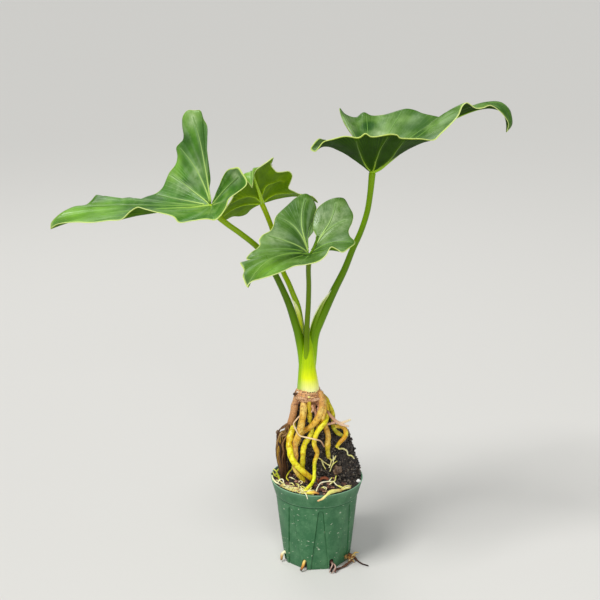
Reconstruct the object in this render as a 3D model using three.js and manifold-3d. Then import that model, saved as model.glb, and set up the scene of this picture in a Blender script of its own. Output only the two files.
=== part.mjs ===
// A young tree philodendron in its nursery pot: four arrow-shaped leaves with waved edges on long stalks, a
// short leaf-scarred stem, thick bare roots that hang over a mound of black mix, and the pot that holds it.
// Millimetres, +Z up. The origin is on the table under the middle of the pot, and the viewer is at -Y.

import * as THREE from 'three';
import { mergeVertices } from 'three/addons/utils/BufferGeometryUtils.js';
import Module from 'manifold-3d';

const wasm = await Module();
wasm.setup();

// Driving dimensions

const GAP = 0.3; // clearance between pieces that touch
const POT_HEIGHT = 97;
const POT_RIM_RADIUS = 51;
const POT_BAND_BOTTOM = 80.2; // lower edge of the rim band
const POT_BAND_STEP = 0.8; // how far the band stands out from the body
const POT_NECK_RADIUS = 45.6; // body just under the band
const POT_BASE_RADIUS = 37.8;
const POT_WALL = 1.1;
const POT_FLOOR = 1.2;
const FLUTE_COUNT = 8;
const FLUTE_TURN = 5; // degrees that the front flute stands right of the viewer's side
const FLUTE_TOP = 76;
const FLUTE_RECESS = 0.45;
const FLUTE_BASE_HALF_WIDTH = 10.2;
const FLUTE_TOP_HALF_WIDTH = 3;
const SLOT_TURN = -20.5; // degrees from the viewer's side to the drain slot left of it
const SLOT_WIDTH = 5;
const SLOT_HEIGHT = 13;

const MOUND_CENTRE = [4, 12];
const MOUND_HALF = [38, 22]; // half width and half depth of the mound at mid height
const MOUND_TOP = 150;
const MIX_LEVEL = 95.5; // mix beside the pot wall

const CROWN_CENTRE = [-9.4, 0];
const CROWN_TOP = 199.5;

const BLADE_THICKNESS = 0.7;

// Materials

function paint(colour, roughness) {
  return new THREE.MeshStandardMaterial({ color: colour, roughness, metalness: 0 });
}

const PAINTS = {
  pot: paint('#3f6b49', 0.55),
  mix: paint('#1e1916', 0.95),
  chip: paint('#6b4434', 0.85),
  stone: paint('#544438', 0.7),
  perlite: paint('#f0efe8', 0.8),
  crown: paint('#a07850', 0.8),
  stalk: paint('#8cae1c', 0.45),
  blade: paint('#5b8a3a', 0.4),
  yellow_root: paint('#ddd22c', 0.5),
  tan_root: paint('#b98d48', 0.6),
  brown_root: paint('#6a4a30', 0.8),
  pale_root: paint('#f0eba8', 0.6),
};

// Solids

function toVector(point) {
  return new THREE.Vector3(point[0], point[1], point[2]);
}

function solidFrom(geometry) {
  const bare = geometry.clone();
  bare.deleteAttribute('normal');
  bare.deleteAttribute('uv');
  const merged = mergeVertices(bare, 0.0001);
  return new wasm.Manifold(new wasm.Mesh({
    numProp: 3,
    vertProperties: new Float32Array(merged.attributes.position.array),
    triVerts: new Uint32Array(merged.index.array),
  }));
}

function geometryFrom(points, triangles) {
  const geometry = new THREE.BufferGeometry();
  const places = points.flatMap((point) => [point.x, point.y, point.z]);
  geometry.setAttribute('position', new THREE.Float32BufferAttribute(places, 3));
  geometry.setIndex(triangles.flat());
  return geometry;
}

function largestOf(solid) {
  const bodies = solid.decompose();
  return bodies.reduce((best, body) => (body.volume() > best.volume() ? body : best));
}

function joined(solids) {
  return solids.reduce((sum, solid) => sum.add(solid));
}

function without(solid, others) {
  return largestOf(others.reduce((rest, other) => rest.subtract(other), solid));
}

const group = new THREE.Group();

function place(name, solid, material) {
  const { vertProperties, triVerts } = solid.getMesh();
  const geometry = new THREE.BufferGeometry();
  geometry.setAttribute('position', new THREE.Float32BufferAttribute(vertProperties, 3));
  geometry.setIndex(Array.from(triVerts));
  geometry.computeVertexNormals();
  const mesh = new THREE.Mesh(geometry, material);
  mesh.name = name;
  group.add(mesh);
}

// Closed skin over a stack of rings that all have the same number of points, with a middle point at each end
function skinOver(rings, first, last) {
  const count = rings[0].length;
  const points = [first, ...rings.flat(), last];
  const end = points.length - 1;
  const triangles = [];
  for (let k = 0; k < count; k += 1) {
    const next = (k + 1) % count;
    triangles.push([0, 1 + next, 1 + k]);
    triangles.push([end, end - count + k, end - count + next]);
    for (let i = 0; i + 1 < rings.length; i += 1) {
      const low = 1 + i * count;
      const high = low + count;
      triangles.push([low + k, low + next, high + next]);
      triangles.push([low + k, high + next, high + k]);
    }
  }
  return geometryFrom(points, triangles);
}

// A value read from a list that is spread evenly from 0 to 1
function spread(values, where) {
  const at = where * (values.length - 1);
  const i = Math.min(values.length - 2, Math.floor(at));
  return THREE.MathUtils.lerp(values[i], values[i + 1], at - i);
}

// A grown strand along hand-set points: a root, stalk or rootlet. Its radii are spread evenly from end to
// end, grow makes it fatter all round, and the far end is rounded.
function strand(path, radii, { sides = 7, step = 7, grow = 0, knobs = 0.05 } = {}) {
  const curve = new THREE.CatmullRomCurve3(path.map(toVector), false, 'centripetal');
  const count = Math.max(2, Math.round(curve.getLength() / step));
  const frames = curve.computeFrenetFrames(count, false);
  const ring = (centre, i, radius) => {
    const points = [];
    for (let k = 0; k < sides; k += 1) {
      const turn = (k / sides) * Math.PI * 2;
      points.push(centre.clone()
        .addScaledVector(frames.normals[i], Math.cos(turn) * radius)
        .addScaledVector(frames.binormals[i], Math.sin(turn) * radius));
    }
    return points;
  };
  const rings = [];
  for (let i = 0; i <= count; i += 1) {
    const where = i / count;
    const swell = 1 + knobs * Math.sin(i * 2.4 + path[0][0]);
    rings.push(ring(curve.getPointAt(where), i, spread(radii, where) * swell + grow));
  }
  const start = curve.getPointAt(0).addScaledVector(frames.tangents[0], -grow);
  const tip = radii[radii.length - 1] + grow;
  const shoulder = curve.getPointAt(1).addScaledVector(frames.tangents[count], tip * 0.55);
  rings.push(ring(shoulder, count, tip * 0.7));
  const end = curve.getPointAt(1).addScaledVector(frames.tangents[count], tip * 0.9);
  return solidFrom(skinOver(rings, start, end));
}

// Pot

// Profile of the pot's outside, from the foot up: height, radius before the flutes, half width and depth of a
// flute there
function potProfile(grow = 0) {
  const slope = (POT_NECK_RADIUS - POT_BASE_RADIUS) / POT_BAND_BOTTOM;
  const body = (z) => POT_BASE_RADIUS + slope * z;
  const arch = FLUTE_TOP - 1.5;
  const shoulder = FLUTE_TOP - 5;
  return [
    { z: 0, radius: body(0), half: FLUTE_BASE_HALF_WIDTH, depth: 1 },
    { z: shoulder, radius: body(shoulder), half: FLUTE_TOP_HALF_WIDTH, depth: 1 },
    { z: arch, radius: body(arch), half: FLUTE_TOP_HALF_WIDTH * 0.8, depth: 1 },
    { z: FLUTE_TOP, radius: body(FLUTE_TOP), half: FLUTE_TOP_HALF_WIDTH * 0.3, depth: 0 },
    { z: POT_BAND_BOTTOM - 0.4, radius: POT_NECK_RADIUS, half: 1, depth: 0 },
    { z: POT_BAND_BOTTOM, radius: POT_NECK_RADIUS + POT_BAND_STEP, half: 1, depth: 0 },
    { z: POT_HEIGHT - 0.5, radius: POT_RIM_RADIUS, half: 1, depth: 0 },
    { z: POT_HEIGHT + grow, radius: POT_RIM_RADIUS - 0.2, half: 1, depth: 0 },
  ];
}

// One level of the pot's wall, moved inwards by inset, with its flutes wider by widen: five points at each
// flute and one between flutes
function potRing({ z, radius, half, depth }, inset, widen = 0) {
  const edge = Math.asin(half / radius);
  const plane = radius * Math.cos(edge) - FLUTE_RECESS;
  const recessed = THREE.MathUtils.lerp(radius, plane / Math.cos(edge), depth) - inset;
  const middle = THREE.MathUtils.lerp(radius, plane, depth) - inset;
  const pitch = (Math.PI * 2) / FLUTE_COUNT;
  const corner = edge + widen / radius;
  const lip = 0.7 / radius;
  const between = pitch / 2;
  const marks = [
    [-corner - lip, radius - inset], [-corner, recessed], [0, middle], [corner, recessed],
    [corner + lip, radius - inset], [between, radius - inset],
  ];
  const points = [];
  for (let k = 0; k < FLUTE_COUNT; k += 1) {
    for (const [turn, distance] of marks) {
      const angle = -Math.PI / 2 + THREE.MathUtils.degToRad(FLUTE_TURN) + k * pitch + turn;
      points.push(new THREE.Vector3(distance * Math.cos(angle), distance * Math.sin(angle), z));
    }
  }
  return points;
}

// The profile's values at any height, so that the wall's inside and the mix share the same faces
function profileAt(z) {
  const profile = potProfile();
  const i = Math.max(1, profile.findIndex((level) => level.z >= z));
  const low = profile[i - 1];
  const high = profile[i];
  const share = (z - low.z) / (high.z - low.z);
  const mix = (key) => THREE.MathUtils.lerp(low[key], high[key], share);
  return { z, radius: mix('radius'), half: mix('half'), depth: mix('depth') };
}

// Drain slots at the foot, one between each two flutes, open at the base and round on top
function drainSlots() {
  const half = SLOT_WIDTH / 2;
  const outline = new THREE.Shape();
  outline.moveTo(-half, -1);
  outline.lineTo(half, -1);
  outline.lineTo(half, SLOT_HEIGHT - half);
  outline.absarc(0, SLOT_HEIGHT - half, half, 0, Math.PI, false);
  const prism = new THREE.ExtrudeGeometry(outline, { depth: 10, bevelEnabled: false, curveSegments: 4 });
  prism.rotateX(Math.PI / 2);
  prism.translate(0, -POT_BASE_RADIUS + 5, 0);
  const slots = [];
  for (let k = 0; k < FLUTE_COUNT; k += 1) {
    const turned = prism.clone();
    turned.rotateZ(THREE.MathUtils.degToRad(SLOT_TURN + k * (360 / FLUTE_COUNT)));
    slots.push(solidFrom(turned));
  }
  return slots;
}

function potBody(grow = 0) {
  const outside = potProfile(grow).map((level) => potRing(level, -grow));
  const top = profileAt(POT_HEIGHT - 0.5);
  const inside = [
    potRing({ ...top, z: POT_HEIGHT + grow }, POT_WALL + grow),
    potRing(profileAt(POT_BAND_BOTTOM), POT_WALL + POT_BAND_STEP + grow),
    potRing(profileAt(FLUTE_TOP), POT_WALL + grow),
    potRing(profileAt(FLUTE_TOP - 5), POT_WALL + grow),
    potRing(profileAt(POT_FLOOR), POT_WALL + grow),
  ];
  const underside = new THREE.Vector3(0, 0, 0);
  const floor = new THREE.Vector3(0, 0, POT_FLOOR);
  return solidFrom(skinOver([...outside, ...inside], underside, floor));
}

function pot() {
  return without(potBody(), drainSlots());
}

// Crown: the short stem under the leaves, ringed by leaf scars, with knobs and stubs of old roots

const CROWN_PROFILE = [
  [0, 173], [6, 173.5], [7, 178], [9, 184], [13, 187], [16, 189], [16.4, 191], [14.8, 192.2], [15, 194.2],
  [13.4, 195.3], [13.7, 197], [12.2, 198.4], [11.4, CROWN_TOP], [0, CROWN_TOP + 0.4],
];

const CROWN_KNOBS = [
  { path: [[0, -8, 188], [3, -12, 185], [4.5, -13, 181.5], [2.5, -12, 178]], radii: [3, 2.4, 1.6] },
  { path: [[-4, -9, 184], [-3, -12, 180], [-1, -13, 175.5]], radii: [3, 2, 1.4] },
  { path: [[-18, -4, 194], [-23.5, -6, 194.5]], radii: [2.2, 1.6] },
  { path: [[-10, -9, 191], [-10, -13.2, 191]], radii: [2.6, 2] },
  { path: [[1, -3, 196], [4, -5, 196.5]], radii: [2, 1.5] },
  { path: [[-16, -7, 195], [-18.5, -10.5, 196]], radii: [2, 1.3] },
  { path: [[-20, -6, 187], [-25.5, -7, 184]], radii: [2.4, 1.4] },
];

function crown(grow = 0) {
  const sections = CROWN_PROFILE.map(([radius, z], i) => {
    const lifted = i < 2 ? -grow : 0;
    const raised = i > CROWN_PROFILE.length - 3 ? grow : 0;
    return new THREE.Vector2(radius === 0 ? 0 : radius + grow, z + lifted + raised);
  });
  const lathe = new THREE.LatheGeometry(sections, 16);
  lathe.rotateX(Math.PI / 2);
  lathe.translate(CROWN_CENTRE[0], CROWN_CENTRE[1], 0);
  const knobs = CROWN_KNOBS.map(({ path, radii }) => strand(path, radii, { sides: 5, step: 4, grow }));
  return joined([solidFrom(lathe), ...knobs]);
}

// Leaf stalks, from the crown to the joint with the blade. Their bases are nested in each other, and each
// gives way to the ones that were there before.

const STALK_FRONT = {
  path: [
    [-11.5, -9, 199], [-11.5, -8, 219], [-12, -8.5, 242], [-11.5, -10, 264.5], [-11, -12, 280],
    [-10, -16, 298.5], [-9.5, -24, 324], [-10, -34, 343], [-9.5, -43, 356], [-9, -47, 362],
  ],
  radii: [3.2, 2.6, 2.5, 2.4, 2.4, 2.3, 2.3, 2.2],
};

const STALK_LEFT = {
  path: [
    [-15.2, -1, 199], [-15.6, -1, 216], [-16.8, -1.5, 239], [-19.5, -3, 262.5], [-23.5, -4, 277],
    [-30, -5, 295.5], [-36.5, -6, 309.5], [-45, -8, 329], [-54, -9, 347.5], [-63, -10, 361],
    [-80.5, -11, 376], [-94, -11, 386], [-103, -11, 394], [-109.5, -10, 404],
  ],
  radii: [6.8, 4, 4.2, 3.6, 3.3, 3.2, 3, 2.8, 2.6],
};

const STALK_RIGHT = {
  path: [
    [-4.2, 0.5, 199], [-6.4, 0, 215.5], [-5.5, 0, 238.5], [-4.5, 0, 261.5], [0.5, 0, 276], [9, 0, 292.5],
    [18, 0, 311.5], [28, 0, 333.5], [36.5, 0, 356], [44.5, 0, 374.5], [51, 0, 396], [54, 0, 417],
    [55, 0, 429.5], [55.5, 0, 436],
  ],
  radii: [7.2, 4.6, 4.8, 4.2, 4, 3.8, 3.4, 3, 2.9],
};

const STALK_BACK = {
  path: [
    [-10.5, 7, 199], [-12.5, 5.5, 213.5], [-14, 6, 236.5], [-16.5, 8, 258.5], [-18, 10, 272.5],
    [-22.5, 14, 289.5], [-28, 18, 301.5], [-33.5, 22, 313], [-39, 27, 323.5], [-44, 36, 345.5],
    [-49, 44, 368], [-55, 51, 382.5], [-59.5, 54.5, 392],
  ],
  radii: [5.5, 4.5, 4.2, 3.2, 2.8, 2.6, 2.5, 2.5, 2.4],
};

// Pale pointed sheaths that are part of their stalks
const SHEATH_RIGHT = {
  path: [
    [15, -2, 315], [12, -3, 310.5], [6.5, -4, 303], [0.5, -4.5, 290.5], [-4.5, -4.5, 277.5], [-7.5, -4, 264],
    [-7, -2, 248],
  ],
  radii: [0.7, 1.2, 1.9, 2.4, 2.8, 3, 3],
};

const SHEATH_BACK = {
  path: [
    [-27.5, 12, 297.5], [-25, 10, 292.5], [-21.5, 8, 284.5], [-17.5, 6, 275], [-15.5, 4, 263.5],
    [-14.5, 4, 248],
  ],
  radii: [0.7, 1.2, 1.7, 2, 2.2, 2.2],
};

function stalk({ path, radii }, grow = 0) {
  return strand(path, radii, { sides: 7, step: 20, grow, knobs: 0 });
}

function sheath({ path, radii }, grow = 0) {
  return strand(path, radii, { sides: 4, step: 13, grow, knobs: 0 });
}

// Blades. Each is a surface that spreads from the joint, where the stalk ends, to the waved margin: one
// curve for each margin point, which leaves the joint towards its near point and reaches the margin from
// its far point. The margin runs clockwise seen from the upper side and starts and ends beside the joint.
// Ribs give the near and far points for some of the margin points, by number.

const BLADE_LEFT = {
  joint: [-110, -10, 405],
  tip: 28,
  margin: [
    [-107, -13, 410], [-102, -22, 421], [-97, -33, 436], [-90, -43, 448], [-84, -49, 451], [-79, -52, 452],
    [-75, -55, 447], [-71, -58, 441], [-71, -60, 437], [-81, -64, 429], [-88, -66, 424], [-91, -67, 416],
    [-96, -67, 408], [-102, -67, 403], [-110, -67, 404], [-125, -66, 402], [-138, -64, 400],
    [-143, -62, 405], [-162, -57, 409], [-173, -53, 411], [-180, -50, 412], [-188, -48, 407],
    [-197, -47, 399], [-211, -44, 397], [-229, -40, 394], [-247, -34, 393], [-266, -26, 389],
    [-274, -20, 383], [-273, -19, 389], [-263, -14, 398], [-251, -8, 403], [-239, -2, 404], [-234, 1, 408],
    [-229, 4, 413], [-223, 6, 409], [-212, 9, 407], [-196, 13, 408], [-187, 14, 406], [-178, 15, 409],
    [-169, 17, 412], [-162, 18, 418], [-155, 20, 433], [-148, 21, 442], [-146, 22, 450], [-147, 23, 459],
    [-144, 23, 463], [-140, 23, 467], [-139, 22, 473], [-140, 21, 483], [-139, 20, 492], [-134, 20, 498],
    [-127, 20, 498], [-121, 19, 498], [-118, 18, 490], [-114, 16, 482], [-115, 13, 467], [-113, 8, 447],
    [-111, 1, 429], [-112, -5, 418],
  ],
  ribs: [
    [3, [-107, -16, 413], [-102, -24, 424]],
    [6, [-104, -20, 416], [-93, -36, 433]],
    [9, [-103, -24, 411], [-88, -44, 426]],
    [13, [-106, -26, 406], [-99, -48, 408]],
    [16, [-112, -28, 404], [-117, -50, 404]],
    [18, [-118, -26, 405], [-132, -47, 403]],
    [21, [-131, -20, 402], [-161, -38, 405]],
    [24, [-135, -16, 402], [-178, -30, 403]],
    [26, [-138, -15, 401], [-206, -24, 400]],
    [28, [-141, -14, 402], [-218, -17, 407]],
    [31, [-140, -12, 404], [-206, -12, 408]],
    [34, [-137, -11, 405], [-191, -6, 409]],
    [37, [-131, -10, 405], [-168, 2, 407]],
    [40, [-126, -8, 406], [-147, 5, 408]],
    [42, [-120, -4, 412], [-137, 8, 424]],
    [45, [-117, -3, 420], [-129, 10, 440]],
    [49, [-115, -2, 427], [-123, 12, 456]],
    [52, [-115, -2, 432], [-120, 11, 466]],
    [55, [-113, -4, 428], [-115, 8, 454]],
  ],
};

const BLADE_BACK = {
  joint: [-60, 55, 393],
  tip: 23,
  margin: [
    [-52, 66, 395], [-37, 79, 398], [-20, 86, 394], [-6, 88, 391], [1, 84, 387], [-5, 72, 397],
    [-19, 60, 402], [-26, 52, 407], [-31, 48, 411], [-29, 45, 418], [-27, 42, 426], [-30, 38, 431],
    [-38, 30, 432], [-43, 25, 433], [-46, 20, 437], [-49, 13, 444], [-46, 9, 451], [-53, 3, 447],
    [-59, -3, 444], [-63, -9, 442], [-65, -14, 439], [-66, -19, 434], [-67, -23, 426], [-72, -20, 429],
    [-76, -15, 434], [-79, -8, 433], [-84, 2, 425], [-89, 12, 408], [-96, 20, 396], [-103, 27, 384],
    [-100, 34, 379], [-91, 44, 381], [-84, 54, 379], [-77, 60, 380], [-71, 60, 386],
  ],
  ribs: [
    [2, [-55, 61, 395], [-47, 70, 399]],
    [5, [-47, 66, 395], [-20, 82, 402]],
    [8, [-53, 56, 400], [-41, 58, 405]],
    [11, [-57, 48, 405], [-41, 44, 420]],
    [13, [-57, 44, 407], [-47, 36, 421]],
    [17, [-59, 38, 409], [-52, 19, 433]],
    [20, [-63, 30, 412], [-62, -4, 454]],
    [23, [-64, 26, 413], [-70, -11, 466]],
    [25, [-65, 28, 410], [-77, -8, 448]],
    [27, [-66, 36, 402], [-79, 14, 416]],
    [30, [-72, 44, 395], [-89, 32, 395]],
    [33, [-68, 52, 391], [-80, 52, 385]],
  ],
};

const BLADE_FRONT = {
  joint: [-9, -48, 363],
  tip: 29,
  margin: [
    [-6, -48, 365], [-2, -47, 376], [-2, -45, 381], [-5, -42, 387], [-5, -36, 396], [-1, -29, 406],
    [10, -22, 413], [19, -19, 415], [26, -19, 414], [31, -24, 407], [35, -30, 400], [34, -37, 394],
    [30, -46, 387], [31, -52, 383], [36, -58, 378], [30, -65, 374], [23, -70, 371], [18, -70, 374],
    [12, -72, 377], [7, -77, 370], [0, -81, 365], [-12, -86, 363], [-24, -92, 363], [-35, -100, 360],
    [-45, -107, 358], [-57, -113, 356], [-64, -117, 355], [-68, -119, 352], [-69, -120, 350],
    [-71, -118, 354], [-73, -114, 359], [-72, -108, 362], [-73, -104, 364], [-76, -99, 368],
    [-71, -92, 367], [-64, -85, 367], [-71, -80, 367], [-67, -77, 372], [-60, -72, 376], [-58, -69, 379],
    [-59, -66, 382], [-56, -62, 386], [-48, -54, 389], [-45, -48, 393], [-43, -42, 400], [-32, -31, 409],
    [-21, -23, 417], [-12, -19, 419], [-6, -19, 414], [-2, -23, 405], [-4, -30, 395], [-5, -38, 385],
    [-11, -43, 377], [-12, -46, 370],
  ],
  ribs: [
    [2, [-6, -48, 368], [-2, -48, 375]],
    [5, [-2, -48, 375], [4, -45, 389]],
    [8, [1, -50, 378], [11, -40, 399]],
    [11, [0, -52, 378], [15, -42, 388]],
    [15, [1, -55, 373], [16, -58, 379]],
    [18, [-3, -57, 368], [6, -64, 372]],
    [21, [-9, -60, 363], [-8, -72, 364]],
    [23, [-17, -62, 364], [-24, -80, 365]],
    [25, [-23, -64, 365], [-38, -90, 365]],
    [29, [-26, -68, 371], [-54, -104, 374]],
    [31, [-26, -68, 372], [-56, -101, 374]],
    [34, [-26, -67, 373], [-55, -95, 374]],
    [36, [-25, -66, 373], [-50, -88, 373]],
    [39, [-22, -62, 375], [-43, -75, 377]],
    [43, [-18, -54, 378], [-34, -60, 385]],
    [46, [-15, -50, 383], [-24, -45, 399]],
    [48, [-14, -49, 384], [-16, -37, 405]],
    [50, [-13, -48, 381], [-10, -37, 396]],
    [53, [-12, -47, 372], [-12, -45, 376]],
  ],
};

const BLADE_RIGHT = {
  joint: [55, 0, 438],
  tip: 28,
  margin: [
    [49, 7, 449], [41, 19, 463], [33, 31, 475], [26, 42, 485], [23, 50, 496], [29, 55, 489], [41, 60, 485],
    [49, 61, 490], [57, 60, 487], [70, 58, 488], [80, 56, 491], [93, 53, 495], [102, 51, 494],
    [110, 48, 491], [126, 43, 488], [133, 40, 486], [140, 35, 489], [147, 30, 494], [157, 26, 496],
    [165, 23, 501], [170, 21, 505], [175, 18, 503], [183, 15, 504], [189, 13, 505], [195, 10, 500],
    [197, 7, 494], [197, 3, 486], [191, -2, 479], [192, -5, 488], [187, -8, 496], [181, -11, 502],
    [171, -16, 508], [163, -19, 506], [156, -21, 506], [150, -23, 510], [146, -25, 512], [142, -26, 509],
    [138, -28, 500], [132, -30, 493], [120, -34, 482], [114, -37, 477], [100, -42, 479], [86, -46, 480],
    [79, -48, 481], [76, -50, 484], [69, -51, 485], [56, -53, 483], [50, -53, 483], [45, -53, 486],
    [39, -52, 482], [25, -52, 483], [13, -51, 480], [4, -50, 477], [0, -50, 472], [-4, -51, 468],
    [-8, -51, 470], [-5, -48, 475], [0, -43, 479], [6, -36, 476], [21, -21, 471], [36, -6, 463],
    [47, 2, 451],
  ],
  ribs: [
    [2, [51, 6, 447], [45, 14, 456]],
    [5, [47, 12, 455], [34, 38, 477]],
    [7, [51, 14, 453], [43, 42, 473]],
    [9, [55, 14, 453], [56, 42, 472]],
    [12, [62, 13, 453], [80, 38, 478]],
    [15, [70, 9, 452], [104, 30, 476]],
    [18, [80, 4, 457], [125, 15, 487]],
    [21, [85, 2, 460], [140, 8, 506]],
    [25, [88, 1, 462], [155, 5, 527]],
    [28, [89, 0, 463], [156, 0, 535]],
    [32, [86, 0, 462], [150, -5, 522]],
    [36, [83, -1, 459], [128, -10, 500]],
    [39, [78, -3, 454], [108, -16, 479]],
    [42, [69, -8, 449], [84, -25, 468]],
    [46, [57, -12, 452], [62, -33, 468]],
    [51, [49, -11, 451], [40, -34, 467]],
    [54, [36, -12, 453], [10, -34, 479]],
    [56, [35, -11, 453], [11, -31, 482]],
    [58, [38, -8, 453], [17, -24, 475]],
    [61, [47, -2, 447], [40, -5, 456]],
  ],
};

// Smooth run of the ribs' points over the margin's numbering
function ribPoint(ribs, column, at) {
  const last = ribs.length - 1;
  const i = Math.max(0, Math.min(last - 1, ribs.findIndex((rib) => rib.at > at) - 1));
  const slope = (k) => {
    const low = ribs[Math.max(0, k - 1)];
    const high = ribs[Math.min(last, k + 1)];
    return high[column].clone().sub(low[column]).divideScalar(high.at - low.at);
  };
  const width = ribs[i + 1].at - ribs[i].at;
  const t = (at - ribs[i].at) / width;
  const square = t * t;
  const cube = square * t;
  return ribs[i][column].clone().multiplyScalar(2 * cube - 3 * square + 1)
    .addScaledVector(slope(i), (cube - 2 * square + t) * width)
    .addScaledVector(ribs[i + 1][column], -2 * cube + 3 * square)
    .addScaledVector(slope(i + 1), (cube - square) * width);
}

const BLADE_ROWS = [0.13, 0.36, 0.62, 0.84, 1];

function bladeColumns({ joint, margin, ribs }) {
  const root = toVector(joint);
  const marks = [
    { at: 0, near: root, far: root },
    ...ribs.map(([at, near, far]) => ({ at, near: toVector(near), far: toVector(far) })),
    { at: margin.length + 1, near: root, far: root },
  ];
  return margin.map((point, k) => {
    const rib = new THREE.CubicBezierCurve3(
      root, ribPoint(marks, 'near', k + 1), ribPoint(marks, 'far', k + 1), toVector(point),
    );
    return BLADE_ROWS.map((t) => rib.getPoint(t));
  });
}

// A thin closed blade, split into triangles alike on both faces
function blade(leaf, grow = 0) {
  const columns = bladeColumns(leaf);
  const root = toVector(leaf.joint);
  const rows = BLADE_ROWS.length;
  const half = BLADE_THICKNESS / 2 + grow;
  const normalAt = (i, j) => {
    const before = columns[Math.max(0, i - 1)][j];
    const after = columns[Math.min(columns.length - 1, i + 1)][j];
    const inner = j > 0 ? columns[i][j - 1] : root;
    const outer = columns[i][Math.min(rows - 1, j + 1)];
    return after.clone().sub(before).cross(outer.clone().sub(inner)).normalize();
  };
  const axis = new THREE.Vector3();
  columns.forEach((column, i) => axis.add(normalAt(i, 1)));
  axis.normalize();
  const points = [];
  for (const side of [1, -1]) {
    points.push(root.clone().addScaledVector(axis, side * half));
    columns.forEach((column, i) => column.forEach((point, j) => {
      const near = THREE.MathUtils.smoothstep(point.distanceTo(root), 1, 6);
      const normal = axis.clone().lerp(normalAt(i, j), near).normalize();
      points.push(point.clone().addScaledVector(normal, side * half));
    }));
  }
  const under = 1 + columns.length * rows;
  const at = (i, j) => (j < 0 ? 0 : 1 + i * rows + j);
  const triangles = [];
  const patch = (a, b, c) => {
    triangles.push([a, b, c]);
    triangles.push([under + a, under + c, under + b]);
  };
  const wall = (a, b) => {
    triangles.push([a, b, under + b]);
    triangles.push([a, under + b, under + a]);
  };
  for (let i = 0; i + 1 < columns.length; i += 1) {
    patch(0, at(i + 1, 0), at(i, 0));
    for (let j = 0; j + 1 < rows; j += 1) {
      patch(at(i, j), at(i + 1, j), at(i + 1, j + 1));
      patch(at(i, j), at(i + 1, j + 1), at(i, j + 1));
    }
    wall(at(i, rows - 1), at(i + 1, rows - 1));
  }
  for (let j = -1; j + 1 < rows; j += 1) {
    wall(at(0, j), at(0, j + 1));
    wall(at(columns.length - 1, j + 1), at(columns.length - 1, j));
  }
  return solidFrom(geometryFrom(points, triangles));
}

// Roots. Each comes out of the crown and goes down into the mix or against it. Where two would touch, the
// later one in this list gives way.

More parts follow.
